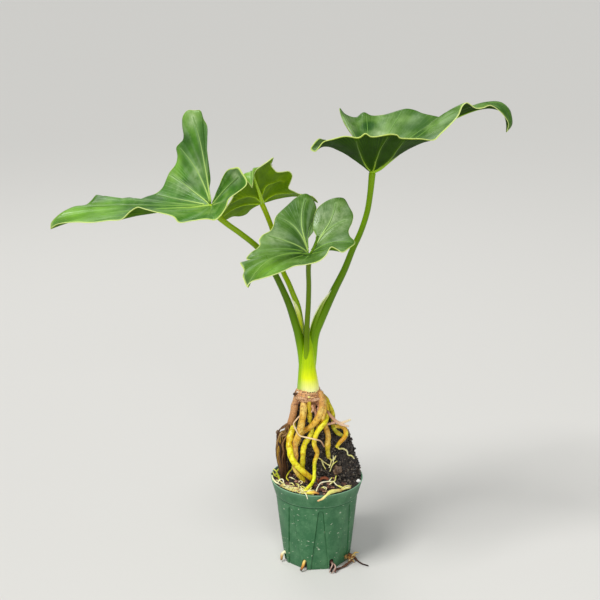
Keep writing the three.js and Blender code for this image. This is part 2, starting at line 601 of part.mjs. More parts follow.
const ROOTS = [
  {
    name: 'root_front_yellow',
    paint: 'yellow_root',
    parts: [{
      path: [
        [4, -4, 192], [8.5, -7, 186], [11, -8, 178.5], [11, -9.5, 173], [10, -12, 169.5], [8, -16.5, 167],
        [3.5, -19.5, 162.5], [-0.5, -21, 157], [-2.5, -22, 151], [-3.5, -23, 146], [-2, -23, 140.5],
        [0, -23, 135.5], [-0.5, -23, 131], [-2.5, -23.5, 125.5], [-3, -24, 119], [-3, -26, 112],
        [-3.5, -28, 106.5], [-5.5, -32, 103], [-9.5, -37, 100.5], [-12.5, -40, 98.5], [-14.5, -41.5, 94.5],
      ],
      radii: [2.3, 2.4, 2.6, 2.9, 2.8, 2.9, 2.6, 2.2, 2.1, 1.8],
    }, {
      path: [[-1.5, -23, 130], [3, -17, 125], [7, -13, 119.5], [10, -12, 117], [14.5, -13, 114.5]],
      radii: [0.9, 0.8, 0.8, 0.7],
    }],
  },
  {
    name: 'root_left_yellow',
    paint: 'yellow_root',
    parts: [{
      path: [
        [-18, 8, 190], [-21, 9.5, 182], [-24, 9.5, 174], [-26.5, 5, 166.5], [-26, -2, 160.5],
        [-26.5, -8, 156], [-28, -11.5, 153],
        [-29.5, -14, 148.5], [-30.5, -18, 143], [-29.5, -22, 137], [-28, -26, 131], [-24.5, -28, 125],
        [-19, -28.5, 119], [-13, -27.5, 112.5], [-8.5, -25, 107.5], [-5, -22, 102], [-2, -18, 95],
      ],
      radii: [2.5, 2.7, 3, 3.3, 3.4, 3.4, 3.3, 2.9, 2.4],
    }, {
      path: [[-25.5, -26, 124], [-27.5, -18, 113], [-31, -12, 106], [-33.5, -13, 100.5], [-31, -17, 98.5]],
      radii: [1, 0.8, 0.7, 0.7],
    }],
  },
  {
    name: 'root_middle_ochre',
    paint: 'tan_root',
    parts: [{
      path: [
        [4.5, -8, 194.5], [5.5, -12, 189], [4.5, -14, 182.5], [2.5, -15, 175.5], [-1, -16, 169],
        [-5.5, -15, 163],
        [-10.5, -12, 158], [-14, -9, 154], [-17.5, -5, 147.5], [-19.5, -3, 139.5], [-21, 1, 131],
      ],
      radii: [3.2, 3.5, 3.4, 3.1, 2.8, 2.7],
    }],
  },
  {
    name: 'root_left_ochre',
    paint: 'tan_root',
    parts: [{
      path: [
        [-14.5, -8, 194.5], [-14.5, -12, 188], [-15, -15, 179], [-16.5, -17, 169], [-18.5, -18, 159],
        [-21, -18, 151], [-23.5, -17, 143.5], [-24, -17, 135], [-23.5, -18, 127.5], [-24.5, -19, 121],
        [-24, -22, 116], [-21, -23, 110.5], [-16.5, -22, 104.5], [-13, -20, 95],
      ],
      radii: [3.3, 3.7, 3.8, 3.6, 3.2, 3, 3, 2.8],
    }],
  },
  {
    name: 'root_right_ochre',
    paint: 'tan_root',
    parts: [{
      path: [
        [3, 3, 188], [6.5, 0, 177.5], [7.5, -3, 169], [8.5, -7, 160.5], [10.5, -10, 155.5], [12, -12, 149.5],
        [11.5, -13, 142], [11.5, -14, 135], [12, -14.5, 129], [12.5, -14.5, 125.5],
      ],
      radii: [2.4, 2.5, 2.7, 2.9, 3, 3, 2.8, 2.1],
    }, {
      path: [[12.5, -14, 125.5], [15.5, -12.5, 121.5], [18.5, -11.5, 121.5], [20.5, -11, 125.5]],
      radii: [1.1, 1, 0.8, 0.6],
    }, {
      path: [[15.5, -12.5, 121.5], [15, -12.5, 117], [13.5, -13, 112.5]],
      radii: [0.9, 0.7, 0.6],
    }],
  },
  {
    name: 'root_right_green',
    paint: 'yellow_root',
    parts: [
      {
        path: [
          [3, 0, 195], [7.5, -2, 192], [10.5, -3, 189], [13, -4, 183.5], [16, -5, 177], [17.5, -5, 170],
          [17.5, -4.5, 164], [17, -4, 159], [19, -4, 154], [22.5, -4, 150], [26.5, -2, 146.5], [30, 2, 141.5],
          [32, 6, 135.5],
        ],
        radii: [2.1, 2.1, 2.2, 2.3, 2.3, 2.2, 2.1],
      },
      {
        path: [
          [17.5, -4, 161.5], [19, -3, 157.5], [23, -3, 157.5], [27, -5, 158], [30.5, -7, 155],
          [31.5, -8, 150.5],
          [29.5, -9, 146], [26, -11, 143], [23, -12, 139.5], [21.5, -12, 137],
        ],
        radii: [1.4, 2.2, 2.5, 2.6, 2.5, 2.3, 1.9],
      },
      {
        path: [
          [22, -12, 138], [24, -11, 134], [28, -9, 133.5], [33, -6.5, 129], [34, -6, 124.5],
          [38, -3.5, 122.5],
          [41, -1, 118],
        ],
        radii: [1.2, 0.9, 0.8, 0.7],
      },
    ],
  },
  {
    name: 'root_middle_yellow',
    paint: 'yellow_root',
    parts: [{
      path: [
        [-9.5, -10, 195.5], [-9.5, -13, 191], [-8.5, -13, 185], [-8, -12, 177.5], [-8, -8, 165.5],
        [-6, -7, 157],
        [-6, -9, 153], [-9, -13, 147.5], [-13, -16, 143], [-15, -18, 135.5], [-15.5, -18, 126],
        [-16, -17, 117], [-16, -16, 106], [-15.5, -14, 95.5],
      ],
      radii: [2.2, 2.3, 2.6, 2.8, 3, 3, 2.8, 2.5],
    }],
  },
  {
    name: 'root_left_brown',
    paint: 'brown_root',
    parts: [
      {
        path: [
          [-22.5, -3, 191.5], [-24, -4, 186], [-25.5, -5, 174.5], [-28, -5, 165.5], [-31.5, -4, 153],
          [-35.5, -4, 145], [-36.5, -4, 133], [-37, -6, 121], [-36, -8, 108.5], [-35.5, -9, 95.5],
          [-35, -9, 88.5],
        ],
        radii: [2.8, 3.8, 3.9, 3, 2.7, 3.2, 3.4, 3.2, 2.6],
      },
      {
        path: [
          [-32, -5, 152.5], [-39, -7.5, 151.5], [-41, -8.5, 143.5], [-42, -9, 129.5], [-40.5, -10, 118.5],
          [-39, -11, 108], [-37.5, -11, 97],
        ],
        radii: [1.3, 1.9, 2.6, 2.9, 2.8, 2.2],
      },
      { path: [[-41.5, -9, 149], [-44.5, -10, 153], [-43, -10, 155.5]], radii: [0.9, 0.7, 0.5] },
      { path: [[-31, -6, 151.5], [-35, -10.5, 149.5], [-40, -10.5, 148.5]], radii: [0.9, 1.1, 0.9] },
    ],
  },
  {
    name: 'root_inner_brown',
    paint: 'tan_root',
    parts: [{
      path: [
        [7.5, -8, 193.5], [8, -12.5, 186], [8.5, -14, 180], [6.5, -16, 173.5], [5, -13.5, 167],
        [1.5, -8, 159.5],
        [-1, -4, 152], [-2, -1, 142.5], [-2, 2, 134],
      ],
      radii: [1.9, 2, 2, 1.8],
    }],
  },
  {
    name: 'root_thin_pink',
    paint: 'pale_root',
    parts: [{
      path: [
        [-19.5, -20.5, 176], [-23.5, -22, 171.5], [-25.5, -23, 168.5], [-23, -24, 162], [-19, -24.5, 155.5],
        [-13, -25.5, 154], [-6, -27, 153], [-1, -26.5, 151.5], [3.5, -23, 148.5], [7.5, -17.5, 139.5],
      ],
      radii: [0.9, 0.8, 0.8, 0.9, 0.8, 0.7],
    }],
  },
  {
    name: 'twig_root',
    paint: 'pale_root',
    parts: [
      {
        path: [
          [11, -10.5, 178], [14.5, -12, 173.5], [18, -11, 169], [21.5, -10, 165.5], [26.5, -9, 163.5],
          [29.5, -8.5, 164.5], [36, -8, 167],
        ],
        radii: [0.9, 0.9, 1, 1, 0.9, 0.7],
      },
      {
        path: [[20.5, -10.5, 166], [24.5, -10.5, 163], [28.5, -10, 161.5], [34, -9.5, 160]],
        radii: [0.9, 0.9, 0.6],
      },
      { path: [[21, -10, 166], [16, -9.5, 163.5], [11.5, -9.5, 162.5]], radii: [0.9, 0.9, 0.7] },
    ],
  },
];

function rootBody({ parts }, grow = 0) {
  return joined(parts.map(({ path, radii }) => {
    const fine = Math.max(...radii) < 1.5;
    return strand(path, radii, { sides: fine ? 4 : 6, step: fine ? 6 : 8, grow });
  }));
}

// Potting mix: fills the pot, and stands up behind the roots as a mound with a narrow core under the crown

// Height of the mound against the distance from its middle, as shares of its half width and depth
const MOUND_SHARES = [
  [0, MOUND_TOP], [0.5, MOUND_TOP], [0.8, MOUND_TOP - 5], [0.92, MOUND_TOP - 17], [1.01, MOUND_TOP - 33],
  [1.12, MOUND_TOP - 46], [1.24, MIX_LEVEL],
];
const MOUND_RINGS = [1.24, 1.12, 1.01, 0.92, 0.8, 0.5];
const MOUND_SQUARENESS = 2.6;

const MIX_CORE = {
  path: [[-6, 6, 125], [-8, 5, 150], [-11, 4, 163], [-10.4, 2, 171]],
  radii: [15, 13, 11, 7],
};

function moundShare(x, y) {
  const across = Math.abs(x - MOUND_CENTRE[0]) / MOUND_HALF[0];
  const along = Math.abs(y - MOUND_CENTRE[1]) / MOUND_HALF[1];
  return (across ** MOUND_SQUARENESS + along ** MOUND_SQUARENESS) ** (1 / MOUND_SQUARENESS);
}

function mixHeight(x, y) {
  const share = moundShare(x, y);
  const i = MOUND_SHARES.findIndex(([mark]) => mark >= share);
  const away = Math.max(0, 1 - Math.hypot(x, y) / (POT_RIM_RADIUS - POT_WALL));
  const bed = MIX_LEVEL + 9 * away;
  const lumps = 0.7 * Math.sin(x * 0.55 + 1) * Math.sin(y * 0.6 + 2) + 0.5 * Math.sin(x * 1.1 - y * 0.9);
  if (i < 1) {
    return (i < 0 ? bed : MOUND_TOP) + lumps;
  }
  const [low, lowHeight] = MOUND_SHARES[i - 1];
  const [high, highHeight] = MOUND_SHARES[i];
  return Math.max(bed, THREE.MathUtils.mapLinear(share, low, high, lowHeight, highHeight)) + lumps;
}

function mixBody() {
  const inset = POT_WALL + GAP;
  const side = [POT_FLOOR + GAP, FLUTE_TOP - 5, FLUTE_TOP].map((z) => potRing(profileAt(z), inset, GAP));
  side.push(potRing(profileAt(POT_BAND_BOTTOM), inset + POT_BAND_STEP));
  const wall = potRing(profileAt(MIX_LEVEL), inset + GAP);
  const rings = [...side, wall];
  const middle = new THREE.Vector3(MOUND_CENTRE[0], MOUND_CENTRE[1], 0);
  const inwards = (point, share) => {
    const from = moundShare(point.x, point.y);
    const place = point.clone().setZ(0).lerp(middle, Math.max(0, 1 - share / from));
    return place.setZ(mixHeight(place.x, place.y));
  };
  const outermost = wall.map((point) => Math.max(moundShare(point.x, point.y) * 0.97, MOUND_RINGS[0]));
  rings.push(wall.map((point, k) => inwards(point, THREE.MathUtils.lerp(outermost[k], MOUND_RINGS[0], 0.4))));
  MOUND_RINGS.forEach((share) => rings.push(wall.map((point) => inwards(point, share))));
  const foot = new THREE.Vector3(0, 0, POT_FLOOR + GAP);
  const top = middle.clone().setZ(mixHeight(middle.x, middle.y));
  const core = strand(MIX_CORE.path, MIX_CORE.radii, { sides: 9, step: 10 });
  return solidFrom(skinOver(rings, foot, top)).add(core);
}

// Small pieces on top of the mix: fine rootlets, bark chips, a stone and a grain of perlite

function seededRandom(seed) {
  let state = seed;
  return () => {
    state = (state * 16807) % 2147483647;
    return state / 2147483647;
  };
}

const RIM_SHREDS = 5;
const RIM_STRAND = [
  [-39, -26.5, 96.6], [-33, -33.5, 97], [-26, -39, 97.2], [-19, -43, 97.2], [-12, -46, 97.2],
  [-4, -47.5, 96.8],
];

// Shreds of pale rootlet in a mat along the front rim: one strand that follows the rim, crossed by short ones
function rimMat(grow = 0) {
  const random = seededRandom(11);
  const along = new THREE.CatmullRomCurve3(RIM_STRAND.map(toVector), false, 'centripetal');
  const strands = [strand(RIM_STRAND, [1, 1.5, 1.4, 0.9], { sides: 4, step: 6, grow })];
  for (let i = 0; i < RIM_SHREDS; i += 1) {
    const middle = along.getPointAt((i + 0.5) / RIM_SHREDS);
    const turn = random() * Math.PI;
    const half = 2.2 + random() * 2.2;
    const outward = new THREE.Vector2(Math.cos(turn), Math.sin(turn)).multiplyScalar(half);
    const rise = 0.4 + random() * 0.8;
    const path = [
      [middle.x - outward.x * 0.9 + 1, middle.y + Math.abs(outward.y), middle.z + rise],
      [middle.x, middle.y, middle.z + 0.3],
      [middle.x + outward.x, middle.y + Math.abs(outward.y) * 0.5 - 0.6, middle.z + rise * 0.5],
    ];
    strands.push(strand(path, [0.5, 0.7, 0.5], { sides: 4, step: 4, grow }));
  }
  const overLip = [[-14.5, -44.6, 97.4], [-12.6, -49, 98.6], [-11.6, -51.6, 97.8], [-10.5, -53, 94.5]];
  strands.push(strand(overLip, [0.7, 0.6, 0.5, 0.4], { sides: 4, step: 4, grow }));
  return joined(strands);
}

const ROOTLETS = [
  {
    name: 'root_over_rim',
    paint: 'pale_root',
    parts: [
      {
        path: [
          [26, -38.5, 97.6], [20, -42.5, 99], [14, -47.3, 99.8], [9.5, -51.8, 98.2], [5, -54, 95],
          [0.5, -54.5, 93],
        ],
        radii: [1.3, 2, 2.2, 1.7, 1.4, 0.8],
      },
      { path: [[24.5, -39, 98], [27.5, -34.5, 98.3], [31, -29.5, 98.3], [34, -28, 97]], radii: [0.9, 0.7] },
      { path: [[25.5, -38.8, 97.8], [31, -35, 98], [36, -31, 96.8]], radii: [0.9, 0.9, 0.8] },
    ],
  },
  {
    name: 'rootlet_front_white',
    paint: 'pale_root',
    parts: [
      {
        path: [
          [-1, -41, 97.6], [0.5, -34, 98.8], [4, -27, 100.6], [11, -24, 101], [18.5, -22, 100.2],
          [20.5, -15, 101.8], [22, -11.5, 106.5],
        ],
        radii: [0.8, 0.8, 0.9, 0.8, 0.6],
      },
      { path: [[18, -22.2, 100.2], [21, -28.5, 99.2], [25.5, -31.5, 97.6]], radii: [0.8, 0.7, 0.6] },
      { path: [[13, -23.5, 101], [15, -19.5, 102], [16.5, -18, 103]], radii: [0.7, 0.6, 0.5] },
    ],
  },
  {
    name: 'rootlets_left',
    paint: 'yellow_root',
    parts: [
      { path: [[-41, -11, 97], [-42.5, -9, 101], [-45, -8, 106], [-48, -7, 108]], radii: [1.1, 1, 0.8, 0.6] },
      { path: [[-42, -10, 99.5], [-46, -11, 102], [-48.5, -11, 106.5]], radii: [0.9, 0.8, 0.6] },
      { path: [[-44.5, -8, 105], [-42.5, -8, 108], [-39.5, -8, 109.5]], radii: [0.7, 0.7, 0.5] },
      { path: [[-43.5, -9, 103], [-47, -6, 101], [-47.5, -3, 97.5]], radii: [0.8, 0.7, 0.6] },
    ],
  },
  {
    name: 'rootlet_left_rim',
    paint: 'pale_root',
    parts: [{
      path: [[-49.5, -3, 98.4], [-48.2, -12, 98.4], [-44.5, -20, 98], [-40.5, -22, 96.5]],
      radii: [0.7, 1, 1, 0.8],
    }],
  },
  {
    name: 'rootlet_left_white',
    paint: 'pale_root',
    parts: [{
      path: [[-43, -17.5, 96.5], [-40, -14.5, 99], [-37.5, -15.5, 99.5], [-36.5, -18.5, 97]],
      radii: [0.8, 0.7],
    }],
  },
];

const BARK_CURL = {
  path: [[0, -25, 98.5], [3.5, -19, 101.5], [9, -17.5, 102.5], [14, -20.5, 100.5]],
  radii: [1.4, 2, 2, 1.3],
};

// Chips and grains: place on the mix, half length, half width and half thickness, turn and tilt in degrees
const CHIPS = [
  { name: 'bark_chip_1', at: [-31, -24], half: [5.5, 3.4, 1.9], turn: 20, tilt: 12 },
  { name: 'bark_chip_2', at: [-21, -32], half: [4.6, 3, 1.8], turn: -35, tilt: -14 },
  { name: 'bark_chip_3', at: [-29, -8], half: [4.2, 2.8, 1.7], turn: 60, tilt: 10 },
  { name: 'bark_chip_4', at: [4, -38], half: [4.6, 3.4, 1.8], turn: 15, tilt: -10 },
  { name: 'bark_chip_5', at: [13, -33.5], half: [5, 2.8, 1.9], turn: 70, tilt: 12 },
  { name: 'bark_chip_6', at: [-9, -31.5], half: [3, 2.4, 1.5], turn: -20, tilt: 8 },
  { name: 'bark_chip_7', at: [29, -24], half: [4, 2.6, 1.6], turn: -50, tilt: 12 },
  { name: 'bark_chip_8', at: [-14, 37.5], half: [5, 3.2, 1.8], turn: 10, tilt: -8 },
  { name: 'bark_chip_9', at: [22, 38], half: [4.4, 3, 1.6], turn: 80, tilt: 10 },
  { name: 'stone', paint: 'stone', at: [22, -12], half: [4.8, 4.2, 4.6], turn: 30, tilt: 20, lift: 6.5 },
  { name: 'perlite', paint: 'perlite', at: [45.5, -15], half: [2.4, 2.1, 2], turn: 0, tilt: 15, lift: 1 },
];

function chip({ at: [x, y], half, turn, tilt, lift = 0 }, grow = 0) {
  const lump = new THREE.IcosahedronGeometry(1, 0);
  lump.scale(half[0] + grow, half[1] + grow, half[2] + grow);
  lump.rotateX(THREE.MathUtils.degToRad(tilt));
  lump.rotateZ(THREE.MathUtils.degToRad(turn));
  lump.translate(x, y, mixHeight(x, y) + half[2] * 0.35 + lift);
  return solidFrom(lump);
}

// Roots that have grown out through the drain slots and lie on the table round the foot

const DRAIN_ROOTS = [
  {
    name: 'drain_root_left',
    paint: 'pale_root',
    parts: [{
      path: [[-31, -14.5, 9], [-36, -16.8, 11.5], [-38.6, -17.6, 8.5], [-39.3, -18, 3]],
      radii: [1.5, 1.7, 1.6, 1.3],
    }],
  },
  {
    name: 'drain_root_front',
    paint: 'pale_root',
    parts: [{
      path: [[-11, -29.5, 9], [-13.6, -36.4, 10.8], [-15.2, -39.6, 7.4], [-17.4, -41, 2.6]],
      radii: [1.5, 1.6, 1.5, 1.3],
    }],
  },
  {
    name: 'drain_root_dark',
    paint: 'brown_root',
    parts: [
      {
        path: [[13, -28.5, 8], [16.3, -35.6, 9.2], [17.6, -39, 6], [15.5, -42.5, 2.2]],
        radii: [1.6, 1.8, 1.7, 1.3],
      },
      { path: [[17.4, -38.6, 6.4], [20.5, -40.5, 3.6], [20, -43.5, 1.6]], radii: [1.3, 1.1, 0.9] },
    ],
  },
  {
    name: 'drain_root_right',
    paint: 'brown_root',
    parts: [
      {
        path: [
          [29.5, -11.8, 6], [36.3, -14.4, 7], [41, -16.5, 5.5], [45, -20, 3], [50, -25, 1.6], [57, -29, 1.2],
        ],
        radii: [1.6, 1.9, 1.6, 1.1, 0.8, 0.6],
      },
      {
        path: [[40, -16, 5.8], [38, -21.5, 3.4], [33, -28, 2], [27, -34, 1.8], [22.5, -37.6, 1.7]],
        radii: [1.4, 1.3, 1.2],
      },
      { path: [[40, -16, 6], [43, -14, 9], [46.5, -14.5, 9.5]], radii: [1.2, 1, 0.7] },
      { path: [[41, -16.5, 6], [43.5, -19, 8.5], [42, -21, 10]], radii: [1.1, 0.9, 0.6] },
    ],
  },
];

// Assembly

place('pot', pot(), PAINTS.pot);

const crownRoom = crown(GAP);
place('crown', crown(), PAINTS.crown);

const stalks = [
  { name: 'petiole_front', shape: STALK_FRONT, leaf: BLADE_FRONT },
  { name: 'petiole_left', shape: STALK_LEFT, leaf: BLADE_LEFT },
  { name: 'petiole_right', shape: STALK_RIGHT, leaf: BLADE_RIGHT, wing: SHEATH_RIGHT },
  { name: 'petiole_back', shape: STALK_BACK, leaf: BLADE_BACK, wing: SHEATH_BACK },
];
const stalkRooms = [];
for (const { name, shape, leaf, wing } of stalks) {
  const whole = (grow) => (wing ? stalk(shape, grow).add(sheath(wing, grow)) : stalk(shape, grow));
  place(name, without(whole(0), [crownRoom, blade(leaf, GAP), ...stalkRooms]), PAINTS.stalk);
  stalkRooms.push(whole(GAP));
}

place('blade_front', blade(BLADE_FRONT), PAINTS.blade);
place('blade_left', blade(BLADE_LEFT), PAINTS.blade);
place('blade_right', blade(BLADE_RIGHT), PAINTS.blade);
place('blade_back', blade(BLADE_BACK), PAINTS.blade);

// Rooms are the pieces placed so far, grown by the gap: what comes after them is cut clear of them
const rooms = [crownRoom];

for (const root of ROOTS) {
  place(root.name, without(rootBody(root), rooms), PAINTS[root.paint]);
  rooms.push(rootBody(root, GAP));
}

const potRoom = potBody(GAP);
for (const rootlet of ROOTLETS) {
  place(rootlet.name, without(rootBody(rootlet), [potRoom, ...rooms]), PAINTS[rootlet.paint]);
  rooms.push(rootBody(rootlet, GAP));
}
place('rootlet_mat', without(rimMat(), [potRoom, ...rooms]), PAINTS.pale_root);
rooms.push(rimMat(GAP));

place('bark_curl', without(strand(BARK_CURL.path, BARK_CURL.radii), rooms), PAINTS.chip);
rooms.push(strand(BARK_CURL.path, BARK_CURL.radii, { grow: GAP }));
for (const piece of CHIPS) {
  place(piece.name, without(chip(piece), rooms), PAINTS[piece.paint ?? 'chip']);
  rooms.push(chip(piece, GAP));
}

for (const root of DRAIN_ROOTS) {
  place(root.name, rootBody(root), PAINTS[root.paint]);
  rooms.push(rootBody(root, GAP));
}

place('potting_mix', without(mixBody(), rooms), PAINTS.mix);

export default group;
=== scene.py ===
# %% [markdown]
# # A young tree philodendron in its nursery pot
#
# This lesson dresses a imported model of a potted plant: four arrow-shaped leaves on long stalks, a short
# stem ringed by leaf scars, thick bare roots that hang over a mound of black mix, and a green moulded pot.
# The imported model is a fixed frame. It says where every piece is, and the finer pieces made here take the
# places of its plain ones, in the same metres.

# %% Load the fixed frame
import math
import random

import bmesh
import bpy
from mathutils import Matrix, Vector, noise
from mathutils.kdtree import KDTree


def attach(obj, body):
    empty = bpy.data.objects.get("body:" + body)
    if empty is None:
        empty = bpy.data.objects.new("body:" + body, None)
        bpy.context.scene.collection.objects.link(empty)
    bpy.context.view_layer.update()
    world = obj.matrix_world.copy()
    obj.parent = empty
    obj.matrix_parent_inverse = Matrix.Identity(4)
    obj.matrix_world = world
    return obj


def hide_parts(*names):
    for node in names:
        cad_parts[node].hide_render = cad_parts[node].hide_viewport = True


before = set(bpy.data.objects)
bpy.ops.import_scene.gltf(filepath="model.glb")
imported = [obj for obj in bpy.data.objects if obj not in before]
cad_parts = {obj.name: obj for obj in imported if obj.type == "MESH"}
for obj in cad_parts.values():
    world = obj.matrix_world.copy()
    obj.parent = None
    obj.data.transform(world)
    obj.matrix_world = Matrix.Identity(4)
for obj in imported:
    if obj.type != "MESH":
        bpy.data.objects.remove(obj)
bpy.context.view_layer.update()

# %% [markdown]
# ## Units and colours
#
# A grower thinks in millimetres and Blender in metres, so lengths are written in millimetres and each mesh
# is scaled once, when it is finished. Colours are written as the hex values that a screen shows. The shader
# needs linear light, so every hex value passes through one function.

# %% Millimetres and hex colours
MM = 0.001


def linear(hex_colour):
    parts = [int(hex_colour[i:i + 2], 16) / 255 for i in (1, 3, 5)]
    return [part / 12.92 if part <= 0.04045 else ((part + 0.055) / 1.055) ** 2.4 for part in parts]


def blend_colours(first, second, share):
    return [a + (b - a) * share for a, b in zip(first, second)]


def between(low, high, value):
    """0 below low, 1 above high, and a smooth rise between them."""
    share = min(1, max(0, (value - low) / (high - low)))
    return share * share * (3 - 2 * share)


print("leaf green in linear light:", [round(part, 3) for part in linear("#507d3c")])

# %% [markdown]
# ## The camera
#
# The photograph looks down on the plant by 17 degrees from a little over a metre away. The rim and the foot
# of the pot are circles, and how flat they look gave that angle and distance. A 72 mm lens on Blender's 36
# mm sensor has the same field of view.

# %% Camera
CAMERA_PLACE = (-18.6, -1215.9, 672.2)
CAMERA_PITCH = 17

camera_data = bpy.data.cameras.new("photo_camera")
camera_data.lens = 72
camera_data.sensor_width = 36
camera_data.clip_end = 100
camera = bpy.data.objects.new("photo_camera", camera_data)
camera.location = Vector(CAMERA_PLACE) * MM
camera.rotation_euler = (math.radians(90 - CAMERA_PITCH), 0, 0)
bpy.context.scene.collection.objects.link(camera)
bpy.context.scene.camera = camera
print("camera at", tuple(round(x, 3) for x in camera.location))

# %% [markdown]
# ## A small studio
#
# The plant stands on a plain pale floor, like a sheet of matt paper. In the photograph the light is soft
# and comes mostly from above and from the left, so the upper sides of the leaves carry a pale sheen and
# their undersides are deep green. A wide soft sun gives part of that, and the rest is painted sheen and
# painted shade in the leaves' colours. The sun lights the floor evenly as far as it shows, a lamp in front
# opens the shadows among the roots, and a dim even sky fills the rest.

# %% Floor and light
bpy.context.scene.view_settings.view_transform = "Standard"

SKY_COLOUR = "#e9edf0"
SKY_STRENGTH = 0.36
FLOOR_COLOUR = "#d2d0cb"
SUN_ANGLE = 24  # degrees across, so that shadows are soft
LAMPS = {
    "soft_sun": {"kind": "SUN", "place": (-0.9, -0.75, 1.9), "power": 2.5, "aim": (0, 0, 0)},
    "lamp_front": {"kind": "AREA", "place": (0.2, -1.6, 1.0), "size": 0.7, "power": 10, "aim": (0, 0, 0.18)},
    "lamp_back": {"kind": "AREA", "place": (-0.5, 1.3, 1.7), "size": 1.0, "power": 6, "aim": (0, 0, 0.38)},
}

sky = bpy.data.worlds.new("soft_sky")
sky.use_nodes = True
sky.node_tree.nodes["Background"].inputs["Color"].default_value = (*linear(SKY_COLOUR), 1)
sky.node_tree.nodes["Background"].inputs["Strength"].default_value = SKY_STRENGTH
bpy.context.scene.world = sky

for lamp_name, lamp in LAMPS.items():
    light = bpy.data.lights.new(lamp_name, lamp["kind"])
    if lamp["kind"] == "SUN":
        light.angle = math.radians(SUN_ANGLE)
    else:
        light.size = lamp["size"]
    light.energy = lamp["power"]
    holder = bpy.data.objects.new(lamp_name, light)
    holder.location = lamp["place"]
    aim = Vector(lamp["aim"]) - Vector(lamp["place"])
    holder.rotation_euler = aim.to_track_quat("-Z", "Y").to_euler()
    bpy.context.scene.collection.objects.link(holder)
print("lamps:", ", ".join(LAMPS))

# %% [markdown]
# ## Materials are small node trees
#
# Every finish starts from the Principled shader. One helper adds a node with its settings and links, and a
# second one opens a new material. The others are made with them and are named for what they give: a grain,
# the colours that follow one, layers of colour, uneven gloss, and the fine relief that goes on last.
# Patterns read Object coordinates, which are in metres here, so a pattern's scale is worked out from its
# real size.

# %% Node helper
def add_node(tree, kind, settings=None, inputs=None):
    """A node of that kind, with its settings, and with numbers, colours or other nodes' outputs put in."""
    node = tree.nodes.new(kind)
    for key, value in (settings or {}).items():
        setattr(node, key, value)
    for key, value in (inputs or {}).items():
        if isinstance(value, bpy.types.NodeSocket):
            tree.links.new(value, node.inputs[key])
        else:
            node.inputs[key].default_value = value
    return node


def new_material(name, numbers):
    """A Principled material, with constant numbers for some of its sockets."""
    material = bpy.data.materials.new(name)
    material.use_nodes = True
    shader = material.node_tree.nodes["Principled BSDF"]
    for key, value in numbers.items():
        shader.inputs[key].default_value = value
    return material, material.node_tree, shader


# %% Patterns and layers
def grain(tree, size_mm, detail=3, stretch=(1, 1, 1), rough=0.55):
    """Noise on Object coordinates, whose blotches are about size_mm across."""
    place = add_node(tree, "ShaderNodeTexCoord").outputs["Object"]
    shaped = add_node(tree, "ShaderNodeMapping", inputs={"Vector": place, "Scale": stretch}).outputs["Vector"]
    return add_node(tree, "ShaderNodeTexNoise", inputs={
        "Vector": shaped, "Scale": 1 / (size_mm * MM), "Detail": detail, "Roughness": rough,
    }).outputs["Fac"]


def grain_colours(tree, stops, size_mm, detail, rough=0.55):
    """Colours that follow a grain. A stop is a mark from 0 to 1 and its hex colour."""
    ramp = add_node(tree, "ShaderNodeValToRGB", inputs={"Fac": grain(tree, size_mm, detail, rough=rough)})
    elements = ramp.color_ramp.elements
    while len(elements) < len(stops):
        elements.new(1)
    for element, (mark, colour) in zip(elements, stops):
        element.position = mark
        element.color = (*linear(colour), 1)
    return ramp.outputs["Color"]


def layered(tree, body, layers):
    """Colours laid over a body. A layer is its hex colour, a pattern or the name of a painted attribute, the
    values at which it starts and is full, and its share where it is full."""
    if isinstance(body, str):
        body = (*linear(body), 1)
    for colour, pattern, start, full, share in layers:
        if isinstance(pattern, str):
            pattern = add_node(tree, "ShaderNodeAttribute", {"attribute_name": pattern}).outputs["Fac"]
        shown = add_node(tree, "ShaderNodeMapRange", inputs={
            "Value": pattern, "From Min": start, "From Max": full, "To Max": share,
        }).outputs["Result"]
        over = {0: shown, 6: body, 7: (*linear(colour), 1)}
        body = add_node(tree, "ShaderNodeMix", {"data_type": "RGBA"}, over).outputs[2]
    return body


def uneven_gloss(tree, shader, size_mm, detail, start, full, least, most):
    """Roughness that goes from least to most as the values of a grain go from start to full."""
    rough = add_node(tree, "ShaderNodeMapRange", inputs={
        "Value": grain(tree, size_mm, detail), "From Min": start, "From Max": full, "To Min": least,
        "To Max": most,
    })
    tree.links.new(rough.outputs["Result"], shader.inputs["Roughness"])


def dress(tree, shader, body, relief, depth_mm):
    """The colour, and a relief of that depth, go on the shader."""
    bump = add_node(tree, "ShaderNodeBump", inputs={"Height": relief, "Distance": depth_mm * MM})
    tree.links.new(body, shader.inputs["Base Color"])
    tree.links.new(bump.outputs["Normal"], shader.inputs["Normal"])


# %% The floor
FLOOR_HALF = 30
floor_paper, tree, shader = new_material("matt_paper_floor", {"Roughness": 0.85})
paper = layered(tree, FLOOR_COLOUR, [("#d3d1cc", grain(tree, 4), 0, 1, 1)])
tree.links.new(paper, shader.inputs["Base Color"])
bm = bmesh.new()
bmesh.ops.create_grid(bm, x_segments=1, y_segments=1, size=FLOOR_HALF)
floor_mesh = bpy.data.meshes.new("floor")
bm.to_mesh(floor_mesh)
bm.free()
floor = bpy.data.objects.new("floor", floor_mesh)
floor_mesh.materials.append(floor_paper)
bpy.context.scene.collection.objects.link(floor)
print("floor half width in metres:", FLOOR_HALF)

# %% [markdown]
# ## Finishing a piece
#
# Each piece is modelled in a bmesh in millimetres. One function turns it into an object at the origin, in
# metres, smooth, riding on the plant's one body, and standing for the plain node it refines.

# %% From a bmesh to a piece
BODY = "root"
TINT = "tint"
piece_count = 0


